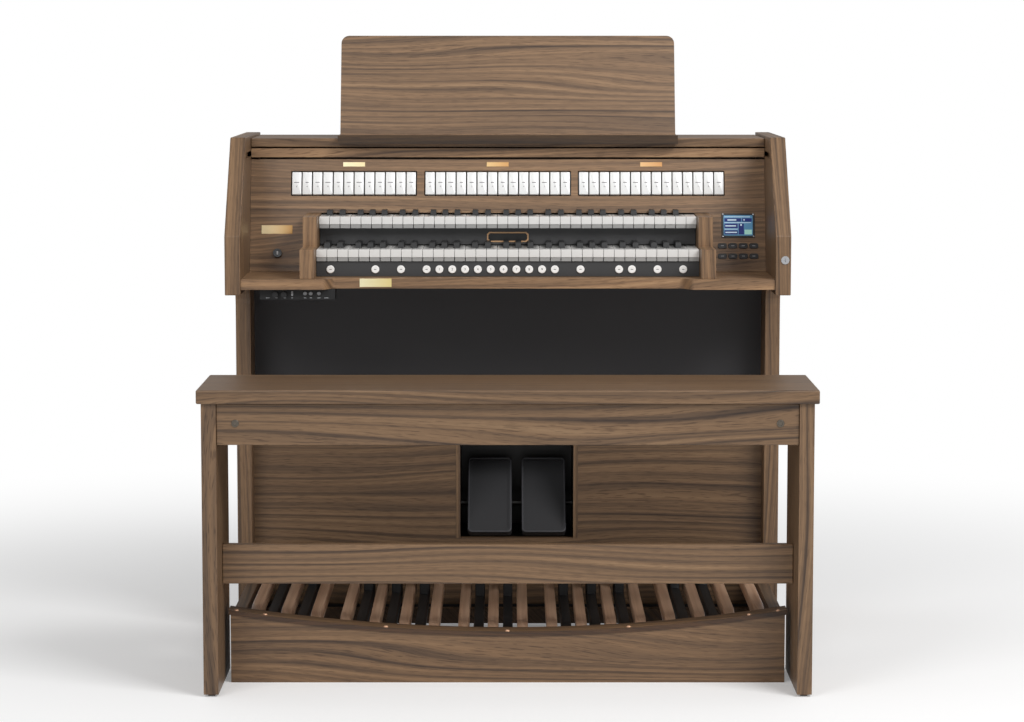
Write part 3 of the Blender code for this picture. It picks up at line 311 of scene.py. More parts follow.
def natural_outline(index, front, back):
    """Plan of one natural: its head, narrowed behind by the sharps on its sides."""
    left = (index - NATURAL_COUNT / 2) * NATURAL_PITCH + KEY_GAP / 2
    right = left + NATURAL_PITCH - KEY_GAP
    head_end = front + HEAD_LENGTH
    points = [(left, front), (right, front)]
    below = SHARP_OFFSETS.get(index % 7) if index < NATURAL_COUNT - 1 else None
    above = SHARP_OFFSETS.get((index - 1) % 7) if index > 0 else None
    clear = SHARP_HALF + KEY_GAP
    if below is None:
        points += [(right, back)]
    else:
        notch = right + KEY_GAP / 2 + below - clear
        points += [(right, head_end), (notch, head_end), (notch, back)]
    if above is None:
        points += [(left, back)]
    else:
        notch = left - KEY_GAP / 2 + above + clear
        points += [(notch, back), (notch, head_end), (left, head_end)]
    return points


def sharp_centres():
    return [(gap + 1 - NATURAL_COUNT / 2) * NATURAL_PITCH + SHARP_OFFSETS[gap % 7]
            for gap in range(NATURAL_COUNT - 1) if gap % 7 in SHARP_OFFSETS]


EDGE_ARC = [(0.0009, 0.0009), (0.0004, 0.00045), (0.00012, 0.0002), (0.0, 0.0)]
ivory_plastic = even_finish("ivory_white_acrylic", "dddbd8", 0.22, mottle=0.015, grit_mm=0.6, relief=0.02)
ivory_plastic.node_tree.nodes["Principled BSDF"].inputs["Coat Weight"].default_value = 0.4
sharp_plastic = even_finish("black_phenolic_sharps", "222223", 0.45, grit_mm=0.6, relief=0.03)
slip_paint = even_finish("satin_black_slip", "414142", 0.45, grit_mm=0.7)
# Painted shade: the naturals' fronts under their overhanging lips are coloured grey for the shade below the lip.
key_front_painted_shade = even_finish("grey_shaded_key_front", "9b9a98", 0.35, mottle=0.015, grit_mm=0.6, relief=0.02)
key_frame_board = walnut_veneer("stained_key_frame", "x", 83.0, STAINED_TONES, 0.6)
for manual, sizes in MANUALS.items():
    front, top, back = sizes["front"], sizes["top"], sizes["back"]
    bottom = top - KEY_THICKNESS
    rings = [(0.0, bottom), (0.0, top - 0.0013), (0.0002, top - 0.0006), (0.0006, top - 0.0002),
             (0.0013, top)]
    plates = [carried_outline(natural_outline(index, front, back), rings) for index in range(NATURAL_COUNT)]
    fronts = []
    for index in range(NATURAL_COUNT):
        left = (index - NATURAL_COUNT / 2) * NATURAL_PITCH + KEY_GAP / 2 + 0.0004
        right = left + NATURAL_PITCH - KEY_GAP - 0.0008
        fronts.append(carried_outline(box_outline(left, right, front + 0.0012, front + HEAD_LENGTH - 0.002),
                                      [(0.0, top - 0.026), (0.0, bottom + 0.001)]))
    naturals = new_piece(f"{manual}_naturals", gather(plates), ivory_plastic, "console")
    lips = new_piece(f"{manual}_key_fronts", gather(fronts), key_front_painted_shade, "console")
    sharp_top = top + 0.012
    sharps = []
    for centre in sharp_centres():
        half = SHARP_HALF + SHARP_SPREAD
        outline = box_outline(centre - half, centre + half, front + HEAD_LENGTH + 0.001, sizes["sharp_end"])
        verts, faces = carried_outline(outline, [(0.0, bottom), (0.0, top + 0.0005), (0.0007, sharp_top - 0.0008),
                                                 (0.0009, sharp_top - 0.0003), (0.0013, sharp_top)])
        lean = np.clip((verts[:, 2] - top) / 0.012, 0, 1) * (verts[:, 1] < outline[0][1] + 0.01)
        verts[:, 1] += 0.0045 * lean
        sharps.append((verts, faces))
    black_keys = new_piece(f"{manual}_sharps", gather(sharps), sharp_plastic, "console")
    frame_box = carried_outline(box_outline(-0.4229, 0.4229, sizes["bed"], back),
                                [(0.0, bottom - 0.024), (0.0, bottom - 0.0002)])
    bed = new_piece(f"{manual}_frame", frame_box, key_frame_board, "console")
    for piece in (naturals, lips, black_keys, bed):
        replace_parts(piece, manual)
runners = gather([carried_outline(box_outline(x - 0.010, x + 0.010, 0.0675, 0.295), [(0.0, 0.8259), (0.0, 0.8458)])
                  for x in (-0.400, 0.0, 0.400)])
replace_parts(new_piece("lower_manual_runners", runners, key_frame_board, "console"), "lower_manual")
slip_shape = carried_outline(box_outline(-0.4224, 0.4224, 0.160, 0.172),
                             [(0.0008, 0.888), (0.0, 0.8888), (0.0, 0.9242), (0.0008, 0.925)])
slip = new_piece("key_slip", slip_shape, slip_paint, "console")
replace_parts(slip, "upper_manual")


# Badge on the slip: a bare black plate with clipped corners in a thin brass frame.

def place_upright(shape, x, y, z):
    """Turn a shape drawn in (x, up, out) so that it faces the player at a point."""
    verts, faces = shape
    out = np.stack([verts[:, 0] + x, y - verts[:, 2], verts[:, 1] + z], axis=1)
    return out, faces


def clipped_rectangle(width, height, clip):
    """Outline of a rectangle with its corners cut off at 45 degrees."""
    half, up = width / 2, height / 2
    return [(-half + clip, -up), (half - clip, -up), (half, -up + clip), (half, up - clip), (half - clip, up),
            (-half + clip, up), (-half, up - clip), (-half, -up + clip)]


def plate_rings(thickness, edge=0.0003):
    """Rings of a thin plate with a softened front edge."""
    return [(0.0, -0.0004), (0.0, thickness - edge), (edge, thickness)]


polished_brass = even_finish("polished_brass_plate", "c8a766", 0.30, metallic=1.0, mottle=0.04, grit_mm=0.5)
badge_black = even_finish("black_badge_enamel", "1c1c1c", 0.3)
badge_bronze = even_finish("satin_bronze_badge_rim", "d0a67c", 0.45, metallic=0.35)
BADGE_Z = 0.9052
badge_frame = place_upright(carried_outline(clipped_rectangle(0.0938, 0.0230, 0.005), plate_rings(0.0008)),
                            0.0, 0.160, BADGE_Z)
badge_field = place_upright(carried_outline(clipped_rectangle(0.0878, 0.0170, 0.0040), plate_rings(0.0010)),
                            0.0, 0.160, BADGE_Z)
new_piece("badge_frame", badge_frame, badge_bronze, "console")
new_piece("badge_field", badge_field, badge_black, "console")


# Piston rail: satin black board with nineteen white thumb pistons.
# Nine of them carry plain numbers and the others a small grey mark.

def circle(radius, count=32):
    turn = np.arange(count) * 2 * np.pi / count
    return np.stack([radius * np.cos(turn), radius * np.sin(turn)], axis=1)


def engraved(name, labels, material, body, size, lift=0.00012):
    """Plain numbers made as thin solids. Each label is (text, place), with place a 4x4 matrix whose x
    runs along the text and z out of the surface."""
    shapes = []
    for text, place in labels:
        curve = bpy.data.curves.new(name, "FONT")
        curve.body = text
        curve.size = size
        curve.extrude = lift / 2
        curve.align_x = "CENTER"
        curve.align_y = "CENTER"
        holder = bpy.data.objects.new(name, curve)
        bpy.context.scene.collection.objects.link(holder)
        bpy.context.view_layer.update()
        mesh = bpy.data.meshes.new_from_object(holder.evaluated_get(bpy.context.evaluated_depsgraph_get()))
        bpy.data.objects.remove(holder)
        mesh.transform(place)
        flat = np.empty(len(mesh.vertices) * 3)
        mesh.vertices.foreach_get("co", flat)
        shapes.append((flat.reshape(-1, 3), [list(polygon.vertices) for polygon in mesh.polygons]))
    return new_piece(name, gather(shapes), material, body, 20)


PISTON_PITCH = 0.02835
PISTON_GROUPS = ((-0.3918, 1), (-0.2927, 1), (-0.2361, 1), (-0.1795, 11), (0.1606, 1), (0.2459, 2), (0.3309, 1),
                 (0.3875, 1))
PISTON_RADIUS = 0.00875
PISTON_Z = 0.842
RAIL_FACE_Y = 0.032
PISTON_FACE = 0.0030
rail_paint = even_finish("satin_black_piston_rail", "3a3a3b", 0.45, grit_mm=0.7)
rail_rings = [(0.0006, 0.8259), (0.0, 0.8265), (0.0, 0.8588), (0.0006, 0.8594)]
piston_rail = new_piece("piston_rail_board", carried_outline(box_outline(-0.4229, 0.4229, RAIL_FACE_Y, 0.060),
                                                             rail_rings), rail_paint, "console")
piston_xs = [start + PISTON_PITCH * step for start, count in PISTON_GROUPS for step in range(count)]
piston_rings = [(0.0, -0.0005), (0.0, PISTON_FACE - 0.0008), (0.0003, PISTON_FACE - 0.0003),
                (0.0009, PISTON_FACE), (0.0030, PISTON_FACE - 0.0003)]
piston_shapes = [place_upright(carried_outline(circle(PISTON_RADIUS), piston_rings), x, RAIL_FACE_Y, PISTON_Z)
                 for x in piston_xs]
piston_white = even_finish("white_piston_acrylic", "f6f5f3", 0.25, mottle=0.01, grit_mm=0.5, relief=0.02)
pistons = new_piece("thumb_pistons", gather(piston_shapes), piston_white, "console")
for piece in (piston_rail, pistons):
    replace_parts(piece, "piston_rail")
ink_black = even_finish("black_engraving_ink", "26241f", 0.6)
ink_grey = even_finish("grey_label_ink", "6a696d", 0.6)


def facing(x, y, z):
    """Matrix that stands a flat text up to face the player at a point."""
    return Matrix(((1, 0, 0, x), (0, 0, -1, y), (0, 1, 0, z), (0, 0, 0, 1)))


NUMBERED = range(4, 13)
piston_labels = [(str(number - 3), facing(piston_xs[number], RAIL_FACE_Y - PISTON_FACE, PISTON_Z))
                 for number in NUMBERED]
engraved("piston_numbers", piston_labels, ink_black, "console", 0.0068)
piston_marks = [place_upright(carried_outline(box_outline(-0.0026, 0.0026, -0.0006, 0.0006), [(0.0, -0.0008), (0.0, 0.0001)]),
                              x, RAIL_FACE_Y - PISTON_FACE, PISTON_Z)
                for number, x in enumerate(piston_xs) if number not in NUMBERED]
new_piece("piston_marks", gather(piston_marks), ink_grey, "console")


# Stop panel fittings: everything here lies on the tilted panel, whose face leans back 15.45 degrees.

PANEL_FOOT = (0.187, 0.8262)
PANEL_TILT = math.radians(15.45)


def panel_v(height):
    """Distance up the panel's face for a height above the floor."""
    return (height - PANEL_FOOT[1]) / math.cos(PANEL_TILT)


def place_on_panel(shape, u=0.0, v=0.0):
    """Turn a shape drawn in (u, v, out of the panel) into the row frame."""
    verts, faces = shape
    across, up, out = verts[:, 0] + u, verts[:, 1] + v, verts[:, 2]
    y = PANEL_FOOT[0] + up * math.sin(PANEL_TILT) - out * math.cos(PANEL_TILT)
    z = PANEL_FOOT[1] + up * math.cos(PANEL_TILT) + out * math.sin(PANEL_TILT)
    return np.stack([across, y, z], axis=1), faces


def on_panel(u, v, out):
    """Matrix that lays a flat text on the panel at a point."""
    sin, cos = math.sin(PANEL_TILT), math.cos(PANEL_TILT)
    return Matrix(((1, 0, 0, u), (0, sin, -cos, PANEL_FOOT[0] + v * sin - out * cos),
                   (0, cos, sin, PANEL_FOOT[1] + v * cos + out * sin), (0, 0, 0, 1)))


def rounded_rectangle(width, height, radius, steps=4):
    """Outline of a rectangle with round corners, anticlockwise."""
    turn = np.linspace(0, np.pi / 2, steps + 1)
    quarters = []
    for quarter, (side, up) in enumerate(((1, 1), (-1, 1), (-1, -1), (1, -1))):
        angle = turn + quarter * np.pi / 2
        quarters.append(np.stack([side * (width / 2 - radius) + radius * np.cos(angle),
                                  up * (height / 2 - radius) + radius * np.sin(angle)], axis=1))
    return np.concatenate(quarters)


# Stop tabs: forty moulded rockers, 21 by 52 mm, with a flat face that stands proud at its lower end.
# Each has a plain foot length and a grey bar in place of its name. They sit on a rail behind the panel.

TAB_GROUPS = ((-0.4902, 12), (-0.1872, 14), (0.1618, 14))
TAB_PITCH = 0.02365
TAB_WIDTH = 0.021
TAB_LENGTH = 0.0525
TAB_V = panel_v(1.0220)
FOOT_LENGTHS = ("8", "4", "16", "8", "2", "8", "4", "8", "16", "4", "8", "2", "8", "4")
NUMBER_V = -0.0078
BAR_V = 0.0018


def tab_face(v):
    """Height of a tab's flat face above the panel, at a distance from the tab's middle."""
    return float(np.interp(v, [-TAB_LENGTH / 2, TAB_LENGTH / 2], [0.0032, 0.0008]))


def lifted(shape, out):
    verts, faces = shape
    return verts + np.array([0.0, 0.0, out]), faces


tab_outline = rounded_rectangle(TAB_WIDTH, TAB_LENGTH, 0.0008, 2)
tab_rings = [(0.0, -0.0186), (0.0, -0.0012), (0.0002, -0.0006), (0.0006, -0.0002), (0.0012, 0.0)]
tab_verts, tab_faces = carried_outline(tab_outline, tab_rings)
rise = np.array([tab_face(v) for v in tab_verts[:, 1]])
tab_verts[:, 2] += np.where(tab_verts[:, 2] > -0.01, rise, 0.0)
tab_shapes, tab_labels, tab_bars = [], [], []
for left, count in TAB_GROUPS:
    for step in range(count):
        u = left + TAB_WIDTH / 2 + step * TAB_PITCH
        tab_shapes.append(place_on_panel((tab_verts, tab_faces), u, TAB_V))
        tab_labels.append((FOOT_LENGTHS[step], on_panel(u, TAB_V + NUMBER_V, tab_face(NUMBER_V) + 0.0001)))
        long_name = 0.0058 - 0.0012 * ((step * 5 + count) % 3)
        bar = carried_outline(box_outline(-long_name, long_name, -0.0008, 0.0008), [(0.0, 0.0), (0.0, 0.0002)])
        tab_bars.append(place_on_panel(lifted(bar, tab_face(BAR_V)), u, TAB_V + BAR_V))
tab_white = even_finish("white_tab_moulding", "eeeeed", 0.28, mottle=0.01, grit_mm=0.6, relief=0.02)
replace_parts(new_piece("stop_tab_faces", gather(tab_shapes), tab_white, "console"), "stop_tabs")
rail_shape = carried_outline(box_outline(-0.5022, 0.5022, TAB_V - 0.0375, TAB_V + 0.0375),
                             [(0.0, -0.0225), (0.0, -0.0185)])
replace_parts(new_piece("stop_tab_rail", place_on_panel(rail_shape), slip_paint, "console"),
            "stop_tabs")
engraved("stop_tab_numbers", tab_labels, ink_black, "console", 0.0046)
new_piece("stop_tab_name_bars", gather(tab_bars), ink_grey, "console")


# Brass plates: one bare plate above each group of tabs, a larger one on the left of the panel.

def gold_with_painted_reflection(name, left, right, pale, deep, roughness):
    """Plate metal with a painted reflection: its tone runs from pale to deep between two distances across."""
    material = even_finish(name, pale, roughness, metallic=0.55, mottle=0.02, grit_mm=0.5)
    tree = material.node_tree
    shader = tree.nodes["Principled BSDF"]
    place = add_node(tree, "ShaderNodeTexCoord").outputs["Object"]
    x = add_node(tree, "ShaderNodeSeparateXYZ", Vector=place).outputs["X"]
    share = add_node(tree, "ShaderNodeMapRange", Value=x, From_Min=left, From_Max=right).outputs[0]
    tree.links.new(colour_ramp(tree, share, [(0.0, pale), (1.0, deep)]), shader.inputs["Base Color"])
    return material


DIVISION_V = panel_v(1.0645)
# Painted reflection: each plate below, the division plates, the name plate and the key bed plate, has its own pale
# and deep tones for the light that its metal reflects.
DIVISION_PLATES = [(-0.3496, "fbeec6", "f3e0ae"), (-0.0230, "e8c48c", "d3a066"), (0.3260, "e3b985", "cb9762")]
for number, (u, pale, deep) in enumerate(DIVISION_PLATES, start=1):
    gold = gold_with_painted_reflection(f"division_plate_gold_{number}", u - 0.025, u + 0.025, pale, deep, 0.45)
    plate = carried_outline(rounded_rectangle(0.050, 0.0103, 0.0006, 2), plate_rings(0.0008))
    new_piece(f"division_plate_{number}", place_on_panel(plate, u, DIVISION_V), gold, "console")
NAME_U, BED_PLATE_X = -0.5232, -0.2904
name_plate = carried_outline(rounded_rectangle(0.070, 0.020, 0.0006, 2), plate_rings(0.0008))
new_piece("bare_name_plate", place_on_panel(name_plate, NAME_U, panel_v(0.9186)),
          gold_with_painted_reflection("name_plate_gold", NAME_U - 0.035, NAME_U + 0.035, "f7e3b5", "b98b50", 0.4), "console")
bed_plate = carried_outline(rounded_rectangle(0.070, 0.0185, 0.0006, 2), plate_rings(0.0008))
new_piece("key_bed_plate", place_upright(bed_plate, BED_PLATE_X, -0.012, 0.8155),
          gold_with_painted_reflection("key_bed_plate_gold", BED_PLATE_X - 0.035, BED_PLATE_X + 0.035, "fdf4cc", "f0dc98", 0.5),
          "console")


# Screen and menu buttons: a lit blue display in a black module with four bright screws, its fields and
# bars without words, and eight rubber buttons with a small grey mark on each.

dress("control_unit", even_finish("black_control_moulding", "313133", 0.45, grit_mm=0.5))
SCREEN_U, SCREEN_V = 0.5222, panel_v(0.9276)


def lit(name, code, glow):
    """A lit part of the display: its colour also shines a little."""
    material = even_finish(name, code, 0.3, mottle=0.03, grit_mm=0.4, relief=0.0)
    shader = material.node_tree.nodes["Principled BSDF"]
    shader.inputs["Emission Color"].default_value = srgb(code)
    shader.inputs["Emission Strength"].default_value = glow
    return material


def screen_fields(fields, lift):
    """Flat fields on the display, each given as left, bottom, width and height in mm from its middle."""
    shapes = []
    for left, low, width, height in np.array(fields) / 1000:
        field = carried_outline(box_outline(left, left + width, low, low + height), [(0.0, 0.0018), (0.0, lift)])
        shapes.append(place_on_panel(field, SCREEN_U, SCREEN_V))
    return gather(shapes)


DARK_FIELDS = ((-31, 8.5, 38, 8), (9, 8.5, 22, 8), (-31, -6.5, 30, 10.5), (-31, -21, 30, 9.5), (1, -21, 12, 25))
PALE_FIELDS = ((14.5, -21, 16.5, 11),)
WHITE_BARS = ((-24, 11, 20, 3), (12, 11, 3, 3.4), (-29, -2.6, 24, 2.6), (-29, -17.6, 26, 2.6), (5, -1, 3.4, 4),
              (-31, 19, 58, 1.4), (-31, 5.6, 60, 1.2), (-31, -9.4, 30, 1.2))
display = carried_outline(rounded_rectangle(0.066, 0.047, 0.001, 2), [(0.0, 0.0010), (0.0, 0.0018), (0.0003, 0.0020)])
new_piece("display_face", place_on_panel(display, SCREEN_U, SCREEN_V), lit("lit_blue_display", "5f93b8", 0.25),
          "console")
new_piece("display_dark_fields", screen_fields(DARK_FIELDS, 0.00215), lit("deep_blue_display_field", "1c2c78", 0.2),
          "console")
new_piece("display_pale_field", screen_fields(PALE_FIELDS, 0.00215), lit("mint_display_field", "a9dccf", 0.25),
          "console")
new_piece("display_bars", screen_fields(WHITE_BARS, 0.0023), lit("white_display_bar", "cfe2ee", 0.3), "console")
nickel = even_finish("nickel_plated_screw", "c4c5c8", 0.25, metallic=1.0)
screw_rings = [(0.0, -0.0002), (0.0, 0.0004), (0.0004, 0.0008), (0.0010, 0.0010)]
screen_screws = [place_on_panel(carried_outline(circle(0.0021, 16), screw_rings), SCREEN_U + side * 0.0350,
                                SCREEN_V + up * 0.0254) for side in (-1, 1) for up in (-1, 1)]
screen_screws = [(verts + np.array([0, -0.0015 * math.cos(PANEL_TILT), 0.0015 * math.sin(PANEL_TILT)]), faces)
                 for verts, faces in screen_screws]
new_piece("screen_screws", gather(screen_screws), nickel, "console")
mark_grey = even_finish("grey_button_print", "a6a8ab", 0.6)
marks = []
for height in (0.8822, 0.8592):
    for u in (0.4859, 0.5096, 0.5333, 0.5570):
        mark = carried_outline(rounded_rectangle(0.0070, 0.0016, 0.0005, 2), [(0.0, 0.0018), (0.0, 0.00215)])
        marks.append(place_on_panel(mark, u, panel_v(height)))
new_piece("menu_button_marks", gather(marks), mark_grey, "console")


# Power switch and key lock: a black push switch with a dark grey rim and a white mark, and a nickel
# lock barrel in the right cheek.

dress("power_switch", even_finish("black_switch_moulding", "191a1c", 0.3, grit_mm=0.5))
dress("lid_lock_barrel", nickel)
SWITCH_U, SWITCH_V = -0.5214, panel_v(0.8655)
SWITCH_FACE = 0.0053
ring_shape = carried_outline(circle(0.0098, 36), [(0.0, SWITCH_FACE - 0.001), (0.0, SWITCH_FACE + 0.0004),
                                                  (0.0004, SWITCH_FACE + 0.0009), (0.0014, SWITCH_FACE + 0.0009),
                                                  (0.0030, SWITCH_FACE + 0.0002)])
new_piece("switch_rim", place_on_panel(ring_shape, SWITCH_U, SWITCH_V),
          even_finish("dark_grey_switch_rim", "5a5f64", 0.35, grit_mm=0.5), "power_button")
switch_mark = carried_outline(rounded_rectangle(0.0038, 0.0078, 0.0012, 2),
                              [(0.0, SWITCH_FACE), (0.0, SWITCH_FACE + 0.0005)])
new_piece("switch_mark", place_on_panel(switch_mark, SWITCH_U, SWITCH_V),
          even_finish("white_switch_mark", "d5d7da", 0.5), "power_button")


# Jack panel under the key bed: two knobs of the solid itself, three nickel jack rings, a pale data slot
# and a row of small grey marks in place of words.

dress("jack_panel", even_finish("black_jack_moulding", "151516", 0.6, grit_mm=0.6))
JACK_FACE_Y = -0.030
JACK_Z = 0.7914
jack_rings = [(0.0, -0.0004), (0.0, 0.0014), (0.0006, 0.0018), (0.0014, 0.0018), (0.0016, 0.0006)]
jacks = [place_upright(carried_outline(circle(0.0042, 24), jack_rings), x, JACK_FACE_Y, JACK_Z + 0.0020)
         for x in (-0.4440, -0.4317, -0.4140)]
dull_nickel = even_finish("dull_nickel_jack", "8b8c8e", 0.4, metallic=1.0)
new_piece("jack_rings", gather(jacks), dull_nickel, "console")
slot_shape = place_upright(carried_outline(rounded_rectangle(0.0042, 0.0100, 0.0006, 2),
                                           [(0.0, -0.0004), (0.0, 0.0010), (0.0004, 0.0013)]), -0.4725,
                           JACK_FACE_Y, JACK_Z + 0.0020)
new_piece("data_slot", slot_shape, mark_grey, "console")
jack_marks = [place_upright(carried_outline(box_outline(-width / 2, width / 2, -0.0006, 0.0006),
                                            [(0.0, -0.0004), (0.0, 0.0002)]), x, JACK_FACE_Y, 0.7838)
              for x, width in ((-0.526, 0.008), (-0.507, 0.005), (-0.489, 0.005), (-0.4725, 0.004), (-0.444, 0.005),
                               (-0.4317, 0.005), (-0.414, 0.007), (-0.3977, 0.009))]
new_piece("jack_marks", gather(jack_marks), mark_grey, "console")


# Swell shoes: cast plates covered by pebbled dark rubber. A raised rubber bead, coloured paler than the plate,
# runs round the edge of each.

def closed_tube(path, radius, sides=8):
    """Round tube along a closed path of points, each ring square to the path."""
    points = np.asarray(path, float)
    run = np.roll(points, -1, axis=0) - np.roll(points, 1, axis=0)
    run /= np.linalg.norm(run, axis=1)[:, None]
    out = np.cross(run, np.array([0.0, 0.0, 1.0]))
    turn = np.arange(sides) * 2 * np.pi / sides
    offset = out[:, None] * np.cos(turn)[None, :, None] + np.array([0.0, 0.0, 1.0]) * np.sin(turn)[None, :, None]
    verts = (points[:, None] + radius * offset).reshape(-1, 3)
    here = np.arange(len(points))[:, None] * sides + np.arange(sides)[None]
    ahead = (np.arange(len(points))[:, None] + 1) % len(points) * sides
    side = (np.arange(sides)[None] + 1) % sides
    start = np.arange(len(points))[:, None] * sides
    return verts, np.stack([here, start + side, ahead + side, ahead + np.arange(sides)[None]], axis=2).reshape(-1, 4).tolist()


SHOE_PITCH = math.radians(43.0)
SHOE_TOE = (0.262, 0.2165)
SHOE_SIZE = (0.102, 0.2215)
BEAD_RADIUS = 0.0016
rubber = even_finish("pebbled_shoe_rubber", "313133", 0.6, grit_mm=0.9, relief=0.3)
pale_bead_rubber = even_finish("worn_rubber_bead", "4c4c50", 0.55, grit_mm=0.9, relief=0.2)
for side, left in (("left", -0.0928), ("right", 0.0323)):
    dress(f"{side}_swell_shoe", rubber)
    outline = rounded_rectangle(SHOE_SIZE[0] - 2 * BEAD_RADIUS - 0.001, SHOE_SIZE[1] - 2 * BEAD_RADIUS - 0.001, 0.009)
    bead_verts, bead_faces = closed_tube(np.column_stack([outline, np.zeros(len(outline))]), BEAD_RADIUS)
    along = bead_verts[:, 1] + SHOE_SIZE[1] / 2
    bead = np.stack([bead_verts[:, 0] + left + SHOE_SIZE[0] / 2,
                     SHOE_TOE[0] + along * math.cos(SHOE_PITCH) - bead_verts[:, 2] * math.sin(SHOE_PITCH),
                     SHOE_TOE[1] + along * math.sin(SHOE_PITCH) + bead_verts[:, 2] * math.cos(SHOE_PITCH)], axis=1)
    new_piece(f"{side}_shoe_bead", (bead, bead_faces), pale_bead_rubber, f"{side}_shoe", 60)


# Pedals: hardwood naturals with a satin lacquer, and sharps with a black lacquered block. Their edges
# are rounded over by hand, so each solid is copied, merged and given a rounded edge.

def eased_copy(node, material, body, radius):
    """A CAD node's own shape, with its doubles merged, its flats joined and its edges rounded."""
    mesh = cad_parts[node].data.copy()
    shape = bmesh.new()
    shape.from_mesh(mesh)
    bmesh.ops.remove_doubles(shape, verts=shape.verts, dist=1e-6)
    bmesh.ops.dissolve_limit(shape, angle_limit=math.radians(1), verts=shape.verts, edges=shape.edges)
    shape.to_mesh(mesh)
    shape.free()
    mesh.materials.clear()
    mesh.materials.append(material)
    piece = bpy.data.objects.new(node + "_eased", mesh)
    bpy.context.scene.collection.objects.link(piece)
    bevel = piece.modifiers.new("rounded_edge", "BEVEL")
    bevel.width = radius
    bevel.segments = 3
    bevel.limit_method = "ANGLE"
    bevel.angle_limit = math.radians(25)
    mesh.shade_smooth()
    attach(piece, body)
    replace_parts(piece, node)
    return piece


def lacquered_hardwood(name, seed):
    """Straight-grained hardwood under clear lacquer, with faint streaks 6 mm wide along the pedal."""
    material, tree, shader = start_material(name)
    along, across = board_directions(tree, "y")
    streaks = stretched_noise(tree, along, across, seed, 2.5, 160.0, 2.0, 0.5)
    tone = colour_ramp(tree, streaks, [(0.30, "c09678"), (0.70, "ddb89b")])
    tree.links.new(tone, shader.inputs["Base Color"])
    shader.inputs["Roughness"].default_value = 0.3
    return material


black_pedal = even_finish("black_lacquered_pedal", "121315", 0.6, grit_mm=0.8)
for node in sorted(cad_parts):
    if not node.startswith("pedal_") or node == "pedal_frame":
        continue
    number = int(node.split("_")[1])
    body = f"pedal_{number:02d}"
    if node.endswith("natural"):
        wood = lacquered_hardwood(f"pedal_hardwood_{number:02d}", 1.9 * number)
        eased_copy(node, wood, body, 0.003)
    else:
        eased_copy(node, black_pedal, body, 0.0025)


# Screws: seven copper ones hold the heel board's cap, and two dark barrel bolts, one at each end of the bench.

copper = even_finish("copper_plated_screw", "e3b492", 0.4, metallic=0.35)
ARC_RADIUS = 3.75
CAP_TOP = 0.109
cap_screws = []
for x in (-0.5706, -0.5102, -0.2563, -0.0008, 0.2544, 0.5075, 0.5685):
    height = CAP_TOP + ARC_RADIUS - math.sqrt(ARC_RADIUS ** 2 - x ** 2)
    verts, faces = carried_outline(circle(0.0048, 20), [(0.0, -0.0006), (0.0, 0.0010), (0.0008, 0.0021), (0.0022, 0.0028)])
    cap_screws.append((verts + np.array([x, -0.3655, height]), faces))
new_piece("cap_screws", gather(cap_screws), copper, "console")
bronze = even_finish("dark_bronze_bolt", "6f685f", 0.4, metallic=1.0)
bolt_rings = [(0.0, -0.0005), (0.0, 0.0008), (0.0006, 0.0014), (0.0030, 0.0014), (0.0034, 0.0004)]
bolts = [place_upright(carried_outline(circle(0.0078, 28), bolt_rings), x, -0.508, 0.5674) for x in (-0.5566, 0.5566)]
new_piece("bench_bolts", gather(bolts), bronze, "bench")


# Studio: white floor and surround, one large lamp above on the right, a weaker one on the left. The
# floor keeps the shadow near the organ and fades to white with distance, so that no horizon shows.

FLOOR_LIFT = 0.20
FADE_START = 0.85
FADE_END = 3.1


def floor_material():
    """White floor: what the camera and reflections see is lifted towards white, the shadow stays."""
    material, tree, shader = start_material("studio_floor_paper")
    shader.inputs["Base Color"].default_value = srgb("e6e6e6")
    shader.inputs["Roughness"].default_value = 0.9
    path = add_node(tree, "ShaderNodeLightPath")
    seen = add_node(tree, "ShaderNodeMath", {"operation": "MAXIMUM"}, at_0=path.outputs["Is Camera Ray"],
                    at_1=path.outputs["Is Glossy Ray"]).outputs[0]
    glow = add_node(tree, "ShaderNodeMath", {"operation": "MULTIPLY"}, at_0=seen, at_1=FLOOR_LIFT).outputs[0]
    lift = add_node(tree, "ShaderNodeEmission", Color=(1, 1, 1, 1), Strength=glow)
    near = add_node(tree, "ShaderNodeAddShader", at_0=shader.outputs[0], at_1=lift.outputs[0]).outputs[0]
    white = add_node(tree, "ShaderNodeEmission", Color=(1, 1, 1, 1), Strength=1.0).outputs[0]
    place = add_node(tree, "ShaderNodeTexCoord").outputs["Object"]
    reach = add_node(tree, "ShaderNodeVectorMath", {"operation": "LENGTH"}, at_0=place).outputs["Value"]
    fade = add_node(tree, "ShaderNodeMapRange", {"interpolation_type": "SMOOTHSTEP"}, Value=reach,
                    From_Min=FADE_START, From_Max=FADE_END).outputs[0]
    share = add_node(tree, "ShaderNodeMath", {"operation": "MULTIPLY"}, at_0=seen, at_1=fade).outputs[0]
    both = add_node(tree, "ShaderNodeMixShader", at_0=share, at_1=near, at_2=white)
    tree.links.new(both.outputs[0], tree.nodes["Material Output"].inputs["Surface"])
    return material


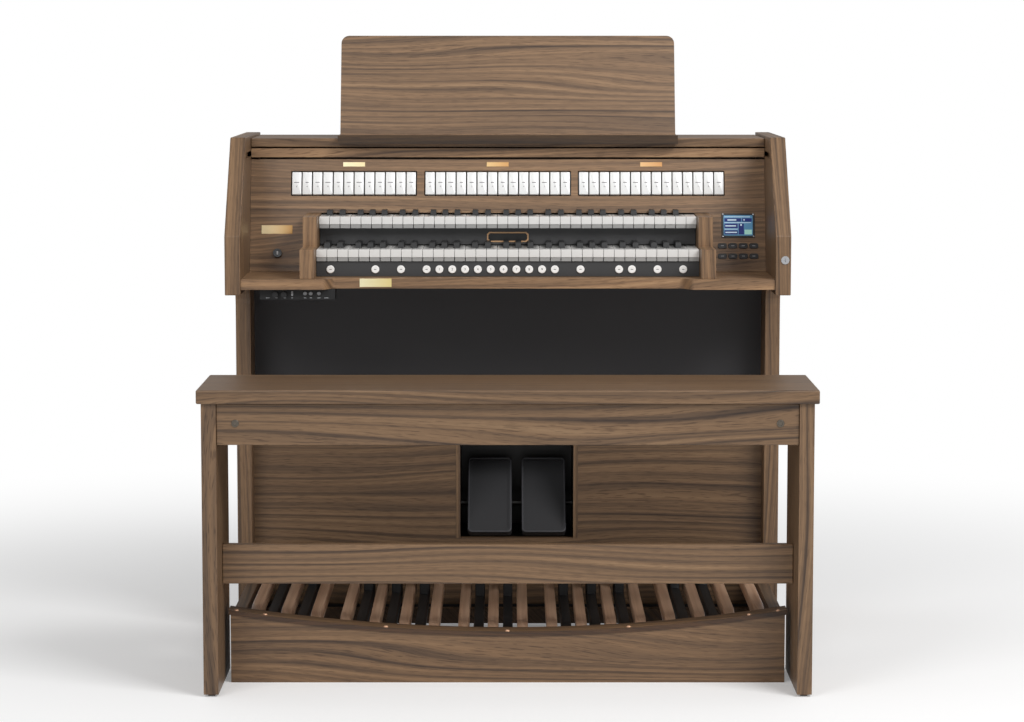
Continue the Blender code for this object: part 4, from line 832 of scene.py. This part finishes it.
floor_mesh = bpy.data.meshes.new("studio_floor")
floor_mesh.from_pydata([(-30, -12, 0), (30, -12, 0), (30, 60, 0), (-30, 60, 0)], [], [[0, 1, 2, 3]])
floor_mesh.materials.append(floor_material())
floor = bpy.data.objects.new("studio_floor", floor_mesh)
bpy.context.scene.collection.objects.link(floor)

world = bpy.data.worlds.new("studio_world")
bpy.context.scene.world = world
world.use_nodes = True
path = add_node(world.node_tree, "ShaderNodeLightPath")
seen = add_node(world.node_tree, "ShaderNodeMath", {"operation": "MAXIMUM"},
                at_0=path.outputs["Is Camera Ray"], at_1=path.outputs["Is Transmission Ray"]).outputs[0]
surround = add_node(world.node_tree, "ShaderNodeMix", {"data_type": "RGBA"}, at_0=seen, at_6=srgb("b4b4b4"),
                    at_7=srgb("ffffff")).outputs[2]
background = world.node_tree.nodes["Background"]
world.node_tree.links.new(surround, background.inputs["Color"])
background.inputs["Strength"].default_value = 1.0


def softbox(name, place, target, width, height, power):
    lamp_data = bpy.data.lights.new(name, "AREA")
    lamp_data.shape = "RECTANGLE"
    lamp_data.size = width
    lamp_data.size_y = height
    lamp_data.energy = power
    lamp = bpy.data.objects.new(name, lamp_data)
    bpy.context.scene.collection.objects.link(lamp)
    lamp.location = place
    aim = np.subtract(target, place)
    lamp.rotation_euler = (math.atan2(math.hypot(aim[0], aim[1]), -aim[2]), 0.0, math.atan2(-aim[0], aim[1]))


softbox("key_softbox", (2.7, -3.0, 4.0), (0, 0, 0.6), 2.4, 1.8, 165)
softbox("fill_softbox", (-2.2, -3.6, 3.4), (0, 0, 0.7), 2.0, 1.6, 55)

CAMERA_LENS = 105.30
CAMERA_PITCH = 6.067
bpy.context.scene.view_settings.view_transform = "Standard"
camera_data = bpy.data.cameras.new("camera")
camera_data.lens = CAMERA_LENS
camera_data.shift_x = 0.0041
camera = bpy.data.objects.new("camera", camera_data)
camera.location = (0.0, -6.572, 1.340)
camera.rotation_euler = (math.radians(90 - CAMERA_PITCH), 0, 0)
bpy.context.scene.collection.objects.link(camera)
bpy.context.scene.camera = camera
